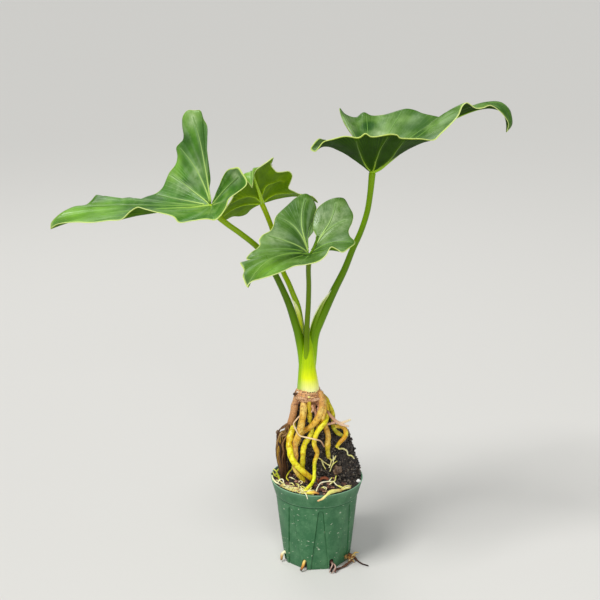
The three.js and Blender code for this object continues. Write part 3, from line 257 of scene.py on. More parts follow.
def finish_piece(bm, name, materials, node=None, slot=None, smooth=True):
    """The bmesh becomes a piece of that name. It replaces the node, if one is given."""
    global piece_count
    bmesh.ops.scale(bm, vec=(MM, MM, MM), verts=bm.verts)
    for face in bm.faces:
        face.smooth = smooth
    mesh = bpy.data.meshes.new("fine_" + name)
    bm.to_mesh(mesh)
    bm.free()
    for material in materials:
        mesh.materials.append(material)
    piece = bpy.data.objects.new("fine_" + name, mesh)
    bpy.context.scene.collection.objects.link(piece)
    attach(piece, BODY)
    for replaced in node or []:
        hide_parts(replaced)
    piece_count += 1
    print(name, "has", len(mesh.polygons), "faces")
    return piece


# %% [markdown]
# ## Curves that grow
#
# Stalks, roots and rootlets are strands. Their routes are a few given points, and a centripetal
# Catmull-Rom curve runs through them, which never overshoots at a tight bend as an even one does. The frame
# that carries the cross-section along is turned as little as possible from step to step, so a strand has no
# twist that the route doesn't have.

# %% Routes
def smooth_run(points, per_span, first=None, last=None):
    """Points along a centripetal Catmull-Rom curve. first and last are the points before and after it."""
    points = [Vector(p) for p in points]
    before = Vector(first) if first else 2 * points[0] - points[1]
    after = Vector(last) if last else 2 * points[-1] - points[-2]
    padded = [before, *points, after]
    run = []
    for i in range(1, len(padded) - 2):
        a, b, c, d = padded[i - 1:i + 3]
        steps = [max(0.001, (q - p).length ** 0.5) for p, q in ((a, b), (b, c), (c, d))]
        leave = (c - b) + steps[1] * ((b - a) / steps[0] - (c - a) / (steps[0] + steps[1]))
        reach = (c - b) + steps[1] * ((d - c) / steps[2] - (d - b) / (steps[1] + steps[2]))
        for k in range(per_span):
            t = k / per_span
            square, cube = t * t, t * t * t
            run.append((2 * cube - 3 * square + 1) * b + (cube - 2 * square + t) * leave
                       + (3 * square - 2 * cube) * c + (cube - square) * reach)
    run.append(points[-1])
    return run


def even_run(points, step):
    """The smooth curve through the points, cut into steps of about that length."""
    run = smooth_run(points, 12)
    lengths = [0]
    for a, b in zip(run, run[1:]):
        lengths.append(lengths[-1] + (b - a).length)
    count = max(3, round(lengths[-1] / step))
    even, i = [], 0
    for k in range(count + 1):
        wanted = lengths[-1] * k / count
        while i < len(run) - 2 and lengths[i + 1] < wanted:
            i += 1
        span = max(1e-6, lengths[i + 1] - lengths[i])
        even.append(run[i].lerp(run[i + 1], min(1, (wanted - lengths[i]) / span)))
    return even


def read_list(values, share):
    """A value read from a list that is spread evenly from 0 to 1. Values are numbers or colours."""
    at = min(max(share, 0), 1) * (len(values) - 1)
    i = min(len(values) - 2, int(at))
    if isinstance(values[0], (list, tuple)):
        return blend_colours(values[i], values[i + 1], at - i)
    return values[i] + (values[i + 1] - values[i]) * (at - i)


def carried_frames(run):
    """A turning matrix for each point of the run, whose Z axis points along it."""
    frames = []
    for i, point in enumerate(run):
        ahead = (run[min(i + 1, len(run) - 1)] - run[max(i - 1, 0)]).normalized()
        if frames:
            turn = (frames[-1].col[2]).rotation_difference(ahead).to_matrix()
            frames.append(turn @ frames[-1])
        else:
            frames.append(ahead.to_track_quat("Z", "Y").to_matrix())
    return frames


# %% [markdown]
# ## Drawing a strand
#
# A strand starts as one capped circle. Its rim is extruded step by step, and each new ring is carried to
# the next frame of the route by a matrix, so that the faces come from the operator alone. A strand can be
# flattened, as a leaf's sheath is, and its colour is a list from one end to the other, kept on the mesh as
# a colour attribute.

# %% Rings
KNOB_PITCH = 0.16  # swellings of a strand for each millimetre
KNOB_ROW = 3.1  # the row of the noise that the swellings are read from
END_ROUNDS = [(0.8, -0.45), (0.35, -0.8)]  # shrink and push of the two rings that round an end
scratch_mesh = bpy.data.meshes.new("scratch")


def append_to(bm, alone):
    """A finished small bmesh goes into a larger one. Operators stay fast, because each strand is alone."""
    alone.to_mesh(scratch_mesh)
    alone.free()
    bm.from_mesh(scratch_mesh)


def grow_ring(bm, rim):
    """Extrudes a rim once. Gives the points of the new ring, and the new rim."""
    grown = bmesh.ops.extrude_edge_only(bm, edges=rim)["geom"]
    ring = [part for part in grown if isinstance(part, bmesh.types.BMVert)]
    fresh = set(ring)
    edges = [part for part in grown if isinstance(part, bmesh.types.BMEdge)]
    return ring, [edge for edge in edges if fresh.issuperset(edge.verts)]


# %% Strands
def add_strand(bm, points, radii, tints, sides=12, step=1.5, flat=1.0, knobs=0.0, seed=0.0, material=0,
               paint=None):
    """A closed strand along the points. Radii and tints are spread evenly from end to end, or paint gives the
    colour of a point."""
    run = even_run(points, step)
    frames = carried_frames(run)
    count = len(run) - 1
    colours = [linear(tint) for tint in tints]

    def ring_matrix(i, shrink, push):
        radius = read_list(radii, i / count)
        centre = run[i] + frames[i].col[2] * push * radius
        swell = 1 + knobs * 2 * noise.noise(Vector((seed, i * step * KNOB_PITCH, KNOB_ROW)))
        scale = Matrix.Diagonal((radius * shrink * swell, radius * shrink * swell * flat, radius, 1))
        return Matrix.Translation(centre) @ frames[i].to_4x4() @ scale

    stations = [(0, *END_ROUNDS[1]), (0, *END_ROUNDS[0])]
    stations += [(i, 1, 0) for i in range(count + 1)]
    stations += [(count, shrink, -push) for shrink, push in END_ROUNDS]
    here = ring_matrix(*stations[0])
    alone = bmesh.new()
    tint_layer = alone.verts.layers.float_color.new(TINT)
    ring = bmesh.ops.create_circle(alone, cap_ends=True, segments=sides, radius=1, matrix=here)["verts"]
    rim = alone.edges[:]
    share_of = {v: 0 for v in ring}
    for i, shrink, push in stations[1:]:
        there = ring_matrix(i, shrink, push)
        ring, rim = grow_ring(alone, rim)
        bmesh.ops.transform(alone, matrix=there @ here.inverted(), verts=ring)
        share_of.update({v: i / count for v in ring})
        here = there
    bmesh.ops.contextual_create(alone, geom=rim)
    for v, share in share_of.items():
        v[tint_layer] = (*(paint(v.co) if paint else read_list(colours, share)), 1)
    bmesh.ops.recalc_face_normals(alone, faces=alone.faces)
    for face in alone.faces:
        face.material_index = material
    append_to(bm, alone)


print("rings of a strand that round an end:", len(END_ROUNDS))

# %% [markdown]
# ## The four blades
#
# A blade of this plant is arrow-shaped, soft and waved, and no two are held alike, so each one is written
# down: the joint where its stalk ends, the points of its margin in clockwise order seen from above, and a
# few ribs. A rib says how the blade leaves the joint towards its near point and comes to the margin from its
# far point. The ribs run as the veins do, because the veins are what gives a leaf its form.

# %% What the four blades are like
LEAVES = {}
LEAVES["blade_left"] = {
    "joint": (-110, -10, 405), "tip": 28,
    "margin": [
        (-107, -13, 410), (-102, -22, 421), (-97, -33, 436), (-90, -43, 448), (-84, -49, 451),
        (-79, -52, 452), (-75, -55, 447), (-71, -58, 441), (-71, -60, 437), (-81, -64, 429),
        (-88, -66, 424), (-91, -67, 416), (-96, -67, 408), (-102, -67, 403), (-110, -67, 404),
        (-125, -66, 402), (-138, -64, 400), (-143, -62, 405), (-162, -57, 409), (-173, -53, 411),
        (-180, -50, 412), (-188, -48, 407), (-197, -47, 399), (-211, -44, 397), (-229, -40, 394),
        (-247, -34, 393), (-266, -26, 389), (-274, -20, 383), (-273, -19, 389), (-263, -14, 398),
        (-251, -8, 403), (-239, -2, 404), (-234, 1, 408), (-229, 4, 413), (-223, 6, 409), (-212, 9, 407),
        (-196, 13, 408), (-187, 14, 406), (-178, 15, 409), (-169, 17, 412), (-162, 18, 418),
        (-155, 20, 433), (-148, 21, 442), (-146, 22, 450), (-147, 23, 459), (-144, 23, 463),
        (-140, 23, 467), (-139, 22, 473), (-140, 21, 483), (-139, 20, 492), (-134, 20, 498),
        (-127, 20, 498), (-121, 19, 498), (-118, 18, 490), (-114, 16, 482), (-115, 13, 467), (-113, 8, 447),
        (-111, 1, 429), (-112, -5, 418),
    ],
    "ribs": [
        (3, (-107, -16, 413), (-102, -24, 424)), (6, (-104, -20, 416), (-93, -36, 433)),
        (9, (-103, -24, 411), (-88, -44, 426)), (13, (-106, -26, 406), (-99, -48, 408)),
        (16, (-112, -28, 404), (-117, -50, 404)), (18, (-118, -26, 405), (-132, -47, 403)),
        (21, (-131, -20, 402), (-161, -38, 405)), (24, (-135, -16, 402), (-178, -30, 403)),
        (26, (-138, -15, 401), (-206, -24, 400)), (28, (-141, -14, 402), (-218, -17, 407)),
        (31, (-140, -12, 404), (-206, -12, 408)), (34, (-137, -11, 405), (-191, -6, 409)),
        (37, (-131, -10, 405), (-168, 2, 407)), (40, (-126, -8, 406), (-147, 5, 408)),
        (42, (-120, -4, 412), (-137, 8, 424)), (45, (-117, -3, 420), (-129, 10, 440)),
        (49, (-115, -2, 427), (-123, 12, 456)), (52, (-115, -2, 432), (-120, 11, 466)),
        (55, (-113, -4, 428), (-115, 8, 454)),
    ],
}
LEAVES["blade_back"] = {
    "joint": (-60, 55, 393), "tip": 23,
    "margin": [
        (-52, 66, 395), (-37, 79, 398), (-20, 86, 394), (-6, 88, 391), (1, 84, 387), (-5, 72, 397),
        (-19, 60, 402), (-26, 52, 407), (-31, 48, 411), (-29, 45, 418), (-27, 42, 426), (-30, 38, 431),
        (-38, 30, 432), (-43, 25, 433), (-46, 20, 437), (-49, 13, 444), (-46, 9, 451), (-53, 3, 447),
        (-59, -3, 444), (-63, -9, 442), (-65, -14, 439), (-66, -19, 434), (-67, -23, 426), (-70, -20, 430),
        (-75, -15, 435), (-79, -8, 433), (-84, 2, 425), (-89, 12, 408), (-96, 20, 396), (-103, 27, 384),
        (-100, 34, 379), (-91, 44, 381), (-84, 54, 379), (-77, 60, 380), (-71, 60, 386),
    ],
    "ribs": [
        (2, (-55, 61, 395), (-47, 70, 399)), (5, (-47, 66, 395), (-20, 82, 402)),
        (8, (-53, 56, 400), (-41, 58, 405)), (11, (-57, 48, 405), (-41, 44, 420)),
        (13, (-57, 44, 407), (-47, 36, 421)), (17, (-59, 38, 409), (-54, 17, 434)),
        (20, (-63, 30, 412), (-63, -2, 451)), (23, (-64, 26, 413), (-70, -11, 466)),
        (25, (-65, 28, 410), (-77, -8, 448)), (27, (-66, 36, 402), (-79, 14, 416)),
        (30, (-72, 44, 395), (-89, 32, 395)), (33, (-68, 52, 391), (-80, 52, 385)),
    ],
}
LEAVES["blade_front"] = {
    "joint": (-9, -48, 363), "tip": 29,
    "margin": [
        (-6, -48, 365), (-2, -47, 376), (-2, -45, 381), (-5, -42, 387), (-5, -36, 396), (-1, -29, 406),
        (10, -22, 413), (19, -19, 415), (26, -19, 414), (31, -24, 407), (35, -30, 400), (34, -37, 394),
        (30, -46, 387), (31, -52, 383), (36, -58, 378), (30, -65, 374), (23, -70, 371), (18, -70, 374),
        (12, -72, 377), (7, -77, 370), (0, -81, 365), (-12, -86, 363), (-24, -92, 363), (-35, -100, 360),
        (-45, -107, 358), (-57, -113, 356), (-64, -117, 355), (-68, -119, 352), (-69, -120, 350),
        (-71, -118, 354), (-73, -114, 359), (-72, -108, 362), (-73, -104, 364), (-76, -99, 368),
        (-71, -92, 367), (-64, -85, 367), (-71, -80, 367), (-67, -77, 372), (-60, -72, 376),
        (-58, -69, 379), (-59, -66, 382), (-56, -62, 386), (-48, -54, 389), (-45, -48, 393),
        (-43, -42, 400), (-32, -31, 409), (-21, -23, 417), (-12, -19, 419), (-6, -19, 414), (-2, -23, 405),
        (-4, -30, 395), (-5, -38, 385), (-11, -43, 377), (-12, -46, 370),
    ],
    "ribs": [
        (2, (-6, -48, 368), (-2, -48, 375)), (5, (-2, -48, 375), (4, -45, 389)),
        (8, (1, -50, 378), (11, -40, 399)), (11, (0, -52, 378), (15, -42, 388)),
        (15, (1, -55, 373), (16, -58, 379)), (18, (-3, -57, 368), (6, -64, 372)),
        (21, (-9, -60, 363), (-8, -72, 364)), (23, (-17, -62, 364), (-24, -80, 365)),
        (25, (-23, -64, 365), (-38, -90, 365)), (29, (-26, -68, 371), (-54, -104, 374)),
        (31, (-26, -68, 372), (-56, -101, 374)), (34, (-26, -67, 373), (-55, -95, 374)),
        (36, (-25, -66, 373), (-50, -88, 373)), (39, (-22, -62, 375), (-43, -75, 377)),
        (43, (-18, -54, 378), (-34, -60, 385)), (46, (-15, -50, 383), (-24, -45, 399)),
        (48, (-14, -49, 384), (-16, -37, 405)), (50, (-13, -48, 381), (-10, -37, 396)),
        (53, (-12, -47, 372), (-12, -45, 376)),
    ],
}
LEAVES["blade_right"] = {
    "joint": (55, 0, 438), "tip": 28,
    "margin": [
        (49, 7, 449), (41, 19, 463), (33, 31, 475), (26, 42, 485), (23, 50, 496), (29, 55, 489),
        (41, 60, 485), (49, 61, 490), (57, 60, 487), (70, 58, 488), (80, 56, 491), (93, 53, 495),
        (102, 51, 494), (110, 48, 491), (126, 43, 488), (133, 40, 486), (140, 35, 489), (147, 30, 494),
        (157, 26, 496), (165, 23, 501), (170, 21, 505), (175, 18, 503), (183, 15, 504), (189, 13, 505),
        (195, 10, 500), (197, 7, 494), (197, 3, 486), (191, -2, 479), (192, -5, 488), (187, -8, 496),
        (181, -11, 502), (171, -16, 508), (163, -19, 506), (156, -21, 506), (150, -23, 510),
        (146, -25, 512), (142, -26, 509), (138, -28, 500), (132, -30, 493), (120, -34, 482),
        (114, -37, 477), (100, -42, 479), (86, -46, 480), (79, -48, 481), (76, -50, 484), (69, -51, 485),
        (56, -53, 483), (50, -53, 483), (45, -53, 486), (39, -52, 482), (25, -52, 483), (13, -51, 480),
        (4, -50, 477), (0, -50, 472), (-4, -51, 468), (-8, -51, 470), (-5, -48, 475), (0, -43, 479),
        (6, -36, 476), (21, -21, 471), (36, -6, 463), (47, 2, 451),
    ],
    "ribs": [
        (2, (51, 6, 447), (45, 14, 456)), (5, (47, 12, 455), (34, 38, 477)),
        (7, (51, 14, 453), (43, 42, 473)), (9, (55, 14, 453), (56, 42, 472)),
        (12, (62, 13, 453), (80, 38, 478)), (15, (70, 9, 452), (104, 30, 476)),
        (18, (80, 4, 457), (125, 15, 487)), (21, (85, 2, 460), (140, 8, 506)),
        (25, (88, 1, 467), (176, 6, 530)), (28, (89, 0, 468), (198, 0, 543)),
        (32, (86, 0, 467), (162, -7, 521)), (36, (83, -1, 463), (128, -10, 506)),
        (39, (78, -3, 454), (108, -16, 479)), (42, (69, -8, 449), (84, -25, 468)),
        (46, (57, -12, 452), (62, -33, 468)), (51, (49, -11, 451), (40, -34, 467)),
        (54, (36, -12, 453), (10, -34, 479)), (56, (35, -11, 453), (11, -31, 482)),
        (58, (38, -8, 453), (17, -24, 475)), (61, (47, -2, 447), (40, -5, 456)),
    ],
}
print("margin points:", {name: len(leaf["margin"]) for name, leaf in LEAVES.items()})

# %% [markdown]
# ## Veins
#
# The stalk goes on into the blade as the midrib, and the side veins fan out from the joint. A vein is a
# short list of margin numbers: where it points at the joint, and where it has bent to further out. Its last
# number says how much of the way to the margin it reaches. They are pale, stand out below and lie nearly
# flush above.

# %% Where the veins run
VEINS = {
    "blade_left": [
        ([28, 27.6, 27.4, 27.8, 28], 0.985), ([54.5, 52.3, 51.5], 0.93), ([46.8, 46.3, 45.6], 0.95),
        ([42, 41.9, 42], 0.94), ([40.5, 40.2, 39.8], 0.95), ([7.6, 7, 7], 0.9), ([10, 10.6, 11.2], 0.9),
        ([4.5, 4, 3.4], 0.85), ([14, 14.6, 15], 0.92), ([18, 18.4, 19], 0.93), ([21.5, 22, 22.6], 0.93),
        ([24.4, 24.8, 25.2], 0.94), ([31.4, 31, 30.6], 0.93), ([35, 34.6, 34], 0.93),
        ([37.6, 37.4, 37], 0.94),
    ],
    "blade_back": [
        ([23, 23.4, 23.4, 23], 0.98), ([19, 18.2, 16.6, 14.4, 10.8], 0.78), ([8.6, 8.6, 8.5, 7.6], 0.86),
        ([26, 26.6, 27.6, 28.5], 0.92), ([29.4, 29.4, 30], 0.93), ([3.6, 3.4, 3], 0.9),
        ([32.4, 32.5, 33], 0.9), ([20.6, 20.2, 19.4], 0.9), ([13.2, 13, 12.4], 0.9),
    ],
    "blade_front": [
        ([33.6, 33.4, 32.6, 30.8, 29.6, 29], 0.985), ([46.2, 46.8, 48], 0.9), ([46.1, 45.6, 45.1], 0.92),
        ([42, 42, 42.2], 0.93), ([38.9, 38.6, 38.2], 0.92), ([7.6, 8.6, 9, 8.2], 0.9),
        ([7.8, 8.8, 10, 11], 0.86), ([13.9, 14.3, 14.9], 0.93), ([4.2, 4, 3.6], 0.85),
        ([50.4, 50.6, 51], 0.85), ([18.4, 18.6, 19], 0.93), ([21.6, 22, 22.4], 0.93),
        ([25.4, 25.6, 26], 0.93), ([35.4, 35, 34.6], 0.9), ([31.8, 31.4, 31], 0.93),
    ],
    "blade_right": [
        ([28, 28, 28, 28], 0.985), ([52.5, 51.6, 50.8, 50.3], 0.94), ([44.5, 46, 46.3, 46.1], 0.94),
        ([40.7, 41.8, 42.8, 43.2], 0.93), ([5.6, 5.5, 5.4], 0.94), ([8.6, 8.5, 8.4], 0.94),
        ([11.4, 11.6, 11.8], 0.94), ([14.6, 15, 15.4], 0.94), ([18.2, 18.6, 19], 0.94),
        ([21.6, 22, 22.4], 0.95), ([24.8, 25.2, 25.6], 0.95), ([31.4, 31, 30.6], 0.95),
        ([34.4, 34, 33.6], 0.94), ([37.8, 37.6, 37.4], 0.94), ([55.6, 55.2, 54.8], 0.93),
        ([58.6, 58.4, 58], 0.9), ([3, 2.8, 2.6], 0.85),
    ],
}
# How clearly each vein shows, in the same order. Those past the end of a list are faint.
VEIN_STRENGTHS = {
    "blade_left": [0.35, 0.9, 0.95, 0.9, 0.6, 0.9, 0.5], "blade_back": [1, 1, 1, 1, 0.8, 0.5],
    "blade_front": [0.4, 0.9, 0.9, 0.8, 0.4, 0.9, 0.8, 0.3], "blade_right": [1, 1, 1, 1],
}
FAINT = 0.22
print("veins:", {name: len(veins) for name, veins in VEINS.items()})

# %% [markdown]
# ## From ribs to a surface
#
# Between two ribs the near and far points pass smoothly from one to the next, so every margin number has a
# rib of its own. The tip of the leaf is a real point, and the margin's curve is broken there.

# %% The surface of a blade
MARGIN_CUTS = 7  # steps between two margin points


def margin_run(leaf):
    """The margin as a fine run, which starts at margin number 1."""
    tip = leaf["tip"]
    margin, joint = leaf["margin"], leaf["joint"]
    coming = smooth_run(margin[:tip], MARGIN_CUTS, first=joint)
    going = smooth_run(margin[tip - 1:], MARGIN_CUTS, last=joint)
    return coming + going[1:]


def rib_points(leaf):
    """A function that gives the near and far point of any margin number."""
    joint = Vector(leaf["joint"])
    ribs = [(0, joint, joint)]
    ribs += [(at, Vector(near), Vector(far)) for at, near, far in leaf["ribs"]]
    ribs.append((len(leaf["margin"]) + 1, joint, joint))

    def slope(k, which):
        low, high = ribs[max(0, k - 1)], ribs[min(len(ribs) - 1, k + 1)]
        return (high[which] - low[which]) / (high[0] - low[0])

    def read(at):
        i = max(0, min(len(ribs) - 2, sum(1 for rib in ribs if rib[0] <= at) - 1))
        width = ribs[i + 1][0] - ribs[i][0]
        t = (at - ribs[i][0]) / width
        square, cube = t * t, t * t * t
        return [
            (2 * cube - 3 * square + 1) * ribs[i][which] + (cube - 2 * square + t) * width * slope(i, which)
            + (3 * square - 2 * cube) * ribs[i + 1][which] + (cube - square) * width * slope(i + 1, which)
            for which in (1, 2)
        ]

    return read


def open_blade(leaf):
    """A function place(at, t): margin number at, and t from 0 at the joint to 1 at the margin."""
    run = margin_run(leaf)
    ribs = rib_points(leaf)
    joint = Vector(leaf["joint"])

    def place(at, t):
        where = min(max(0, (at - 1) * MARGIN_CUTS), len(run) - 1)
        i = min(len(run) - 2, int(where))
        edge = run[i].lerp(run[i + 1], where - i)
        near, far = ribs(at)
        s = 1 - t
        return s ** 3 * joint + 3 * t * s * s * near + 3 * t * t * s * far + t ** 3 * edge

    return place, run


print("blade_left's tip:", [round(x) for x in open_blade(LEAVES["blade_left"])[0](28, 1)])

# %% [markdown]
# ## Waxy leaf skin
#
# The upper side of a young philodendron leaf is covered by a thin wax: mid green, lighter along the veins
# and pale yellow-green at the very edge. Light from above shines through the blade, and that light is
# painted into the undersides' colours: a bright olive on a thin leaf, and on an older one a deep green that
# is partly painted shade. The patches come from noise 11 and 30 mm across, and the fine side veins from a
# wave over the margin numbers, about 3 mm apart near the edge. A pale painted sheen lies over the wax in
# broad bands. More painted sheen, painted shade and lighter yellow-green patches, which the lamps alone
# don't give, are painted on the mesh, and the finish reads them from there as layers.

# %% Leaf patterns
LEAF_MAP = "leaf_map"
VEIN_NEAR, EDGE_NEAR, DARK_PATCH = "vein_near", "edge_near", "dark_patch"
# Painted sheen, painted shade and lighter yellow-green patches on the upper side
SHEEN, PAINTED_SHADE, LIGHTER_YELLOW_GREEN = "sheen", "deep", "lighter_yellow_green"
# A wave's scale, distortion, detail and detail scale, and the value from which it shows
FINE_VEINS = (0.95, 1.4, 2, 0.6, 0.78)
# Broad bands of painted sheen over the upper side
SHEEN_BANDS = (0.105, 3.2, 3, 1.6, 0.45)


def leaf_wave(tree, scale, distortion, detail, detail_scale, start):
    """Bands that run outwards over a blade."""
    place = add_node(tree, "ShaderNodeUVMap", {"uv_map": LEAF_MAP}).outputs["UV"]
    wave = add_node(tree, "ShaderNodeTexWave", {"bands_direction": "X"}, {
        "Vector": place, "Scale": scale, "Distortion": distortion, "Detail": detail,
        "Detail Scale": detail_scale,
    }).outputs["Fac"]
    return add_node(tree, "ShaderNodeMapRange", inputs={"Value": wave, "From Min": start}).outputs["Result"]


def broken_up(tree, pattern, size_mm, rough, start, full):
    """A pattern that is left only where a cloudy grain is strong."""
    cloud = add_node(tree, "ShaderNodeMapRange", inputs={
        "Value": grain(tree, size_mm, 5, rough=rough), "From Min": start, "From Max": full,
    }).outputs["Result"]
    return add_node(tree, "ShaderNodeMath", {"operation": "MULTIPLY"}, {0: pattern, 1: cloud}).outputs[0]


print("waves of a leaf:", FINE_VEINS, SHEEN_BANDS)

# %% Leaf finishes
def leaf_top(name, deep, mid, pale, sheen):
    """Thin wax over green: glossy, and a little uneven."""
    material, tree, shader = new_material(name, {
        "Roughness": 0.34, "Specular IOR Level": 0.3, "Coat Weight": 0.1, "Coat Roughness": 0.3,
    })
    fine_veins = leaf_wave(tree, *FINE_VEINS)
    sheen_bands = broken_up(tree, leaf_wave(tree, *SHEEN_BANDS), 22, 0.6, 0.4, 0.62)
    painted = add_node(tree, "ShaderNodeAttribute", {"attribute_name": SHEEN}).outputs["Fac"]
    # Layers: mottling, broad bands of painted sheen, side veins, veins, painted shade, lighter yellow-green,
    # patches of painted sheen, a dark green patch, and the pale edge
    body = layered(tree, grain_colours(tree, [(0.36, deep), (0.52, mid), (0.7, pale)], 30, 4), [
        (pale, grain(tree, 11, detail=5, rough=0.62), 0.5, 0.72, 0.35), ("#a9c39b", sheen_bands, 0, 1, sheen),
        ("#a9c77c", fine_veins, 0, 1, 0.07), ("#a6c886", VEIN_NEAR, 0, 1, 0.5), ("#2c5a0c", PAINTED_SHADE, 0, 1, 0.75),
        ("#8cc43a", LIGHTER_YELLOW_GREEN, 0, 1, 0.6), ("#b6cb98", broken_up(tree, painted, 9, 0.65, 0.3, 0.66), 0, 1, 0.7),
        ("#24520a", DARK_PATCH, 0, 1, 1), ("#c3d678", EDGE_NEAR, 0.25, 1, 1),
    ])
    uneven_gloss(tree, shader, 16, 4, 0.35, 0.65, 0.26, 0.5)
    both = {0: 0.5, 6: grain(tree, 1.2), 7: fine_veins}
    dress(tree, shader, body, add_node(tree, "ShaderNodeMix", {"data_type": "RGBA"}, both).outputs[2], 0.25)
    return material


def leaf_under(name, deep, mid, vein):
    """The unwaxed underside: matt, with its veins paler."""
    material, tree, shader = new_material(name, {"Roughness": 0.55, "Specular IOR Level": 0.06})
    body = layered(tree, grain_colours(tree, [(0.35, deep), (0.68, mid)], 18, 4), [
        (vein, leaf_wave(tree, *FINE_VEINS), 0, 1, 0.2), (vein, VEIN_NEAR, 0, 1, 0.3),
        ("#b9d24a", EDGE_NEAR, 0.3, 1, 1),
    ])
    dress(tree, shader, body, grain(tree, 1.2), 0.2)
    return material


def tinted_skin(name, rough, bump_mm=0.1, grain_mm=2.0, shade=0.25, shade_colour="#3a2c10",
                light_colour=None):
    """A skin whose colour is painted along each strand, with darker flecks and, if asked, paler patches."""
    material, tree, shader = new_material(name, {"Roughness": rough, "Specular IOR Level": 0.3})
    flecks = [(shade_colour, grain(tree, grain_mm, detail=5, rough=0.65), 0.48, 0.7, shade)]
    patches = [(light_colour, grain(tree, 7), 0.42, 0.62, 0.55)] if light_colour else []
    painted = add_node(tree, "ShaderNodeAttribute", {"attribute_name": TINT}).outputs["Color"]
    body = layered(tree, painted, patches + flecks)
    dress(tree, shader, body, grain(tree, grain_mm * 0.6, detail=4), bump_mm)
    return material


# %% The four leaves' own greens
pale_margin = tinted_skin("waxy_leaf_margin", 0.4, shade=0.05)
# The underside greens hold painted light: light shining through a thin blade, brightest on the back leaf. The
# right one's deep green is partly painted shade.
LEAF_FINISHES = {
    # The last number of each top is the share of its painted sheen bands.
    "blade_left": (leaf_top("waxy_leaf_top_left", "#31630c", "#467e14", "#7fa848", 0.25),
                   leaf_under("leaf_underside_left", "#2f5205", "#47700c", "#8fb02c")),
    "blade_back": (leaf_top("waxy_leaf_top_back", "#568a14", "#6c9e1e", "#8cb840", 0.1),
                   leaf_under("leaf_underside_back", "#466a00", "#628800", "#b4d010")),
    "blade_front": (leaf_top("waxy_leaf_top_front", "#335e0c", "#446e12", "#74984a", 0.26),
                    leaf_under("leaf_underside_front", "#3f6808", "#547f10", "#9cba34")),
    "blade_right": (leaf_top("waxy_leaf_top_right", "#33610e", "#446e14", "#749a48", 0.32),
                    leaf_under("leaf_underside_right", "#183300", "#244400", "#64900c")),
}
print("leaf finishes:", len(LEAF_FINISHES) * 2)

# %% [markdown]
# ## Building a blade
#
# The blade starts as a flat grid: one direction counts along the margin, the other from the joint outwards.
# Every point is then carried onto the surface and pushed down a little beside the veins, so that the blade
# is quilted between them as the real one is, and the solidify operator gives the sheet its thickness. The
# margin gets a pale bead, thicker where it comes towards the viewer. The veins are strands sunk into the
# upper side, and the clear ones are drawn once more below, where they stand out further.

# %% Sizes and tints of the blades
BLADE_ROWS = 34
BLADE_HALF = 0.35  # half the blade's thickness
FAR_BEAD, NEAR_BEAD = 0.2, 0.46
FAR_EDGE = 0.35  # share of the pale edge that is left on the far side
NEAR_SPAN = (4, -26)  # from where to where before the joint the margin counts as near
QUILT_DEPTH, QUILT_REACH = 0.8, 3.2
RIPPLES = ((0.45, 0.05), (0.16, 0.16))  # height of each unevenness, and how often it comes in a millimetre
VEIN_HALO, EDGE_HALO = 1.8, 0.6  # how far the pale tints reach from a vein and from the margin
VEIN_RISE = 0.1  # how far a vein stands out of the upper side
VEIN_STEPS = 30
CLEAR_VEIN, PALE_VEIN = 0.6, 0.4  # strengths from which a vein shows below too, and is pale above
VEIN_RADII = [1.1, 0.8, 0.55, 0.4]
UNDER_VEIN_DEPTH, UNDER_VEIN_RADII = 1.2, [0.9, 0.6, 0.5, 0.35]
UNDER_VEIN_TINTS = {
    "blade_left": ["#7c9c14", "#668c10"], "blade_back": ["#a8cc08", "#94bc04", "#7ca404"],
    "blade_front": ["#84a820", "#6c9414"], "blade_right": ["#8cac10", "#64880c", "#466a08"],
}
MIDRIB_RADII = {
    "blade_left": [2.4, 1.0, 0.8, 0.6, 0.4], "blade_back": [2.6, 2.0, 1.2, 0.35, 0.2],
    "blade_front": [2.0, 1.0, 0.8, 0.6, 0.4], "blade_right": [3.0, 1.7, 1.2, 0.8, 0.4],
}
VEIN_TINTS = ["#b8d66c", "#9fc06c", "#6f9a4c"]
FAINT_TINTS = ["#83ad45", "#7aa648", "#71a046"]
MIDRIB_TINTS = {
    "blade_left": ["#a6c64e", "#7fae48", "#78a842"],
    "blade_back": ["#9cc404", "#a6cc08", "#9cc412", "#6c9e1e", "#6c9e1e"],
    "blade_front": ["#6c9638", "#8ab04e", "#84ac4c"], "blade_right": ["#8fb808", "#8cb40c", "#88ac30"],
}
MARGIN_TINTS = ["#bfd46a", "#cbdc80", "#d2e090", "#c6d874", "#bfd46a"]
print("thickness of a blade in mm:", 2 * BLADE_HALF)

# %% Where a blade is painted
# A dark green patch on the right blade's upper side: its middles and reaches in millimetres
DARK_PATCHES = {"blade_right": [((53, 48, 476.6), 6.8), ((55, 48.5, 479), 5.6)]}
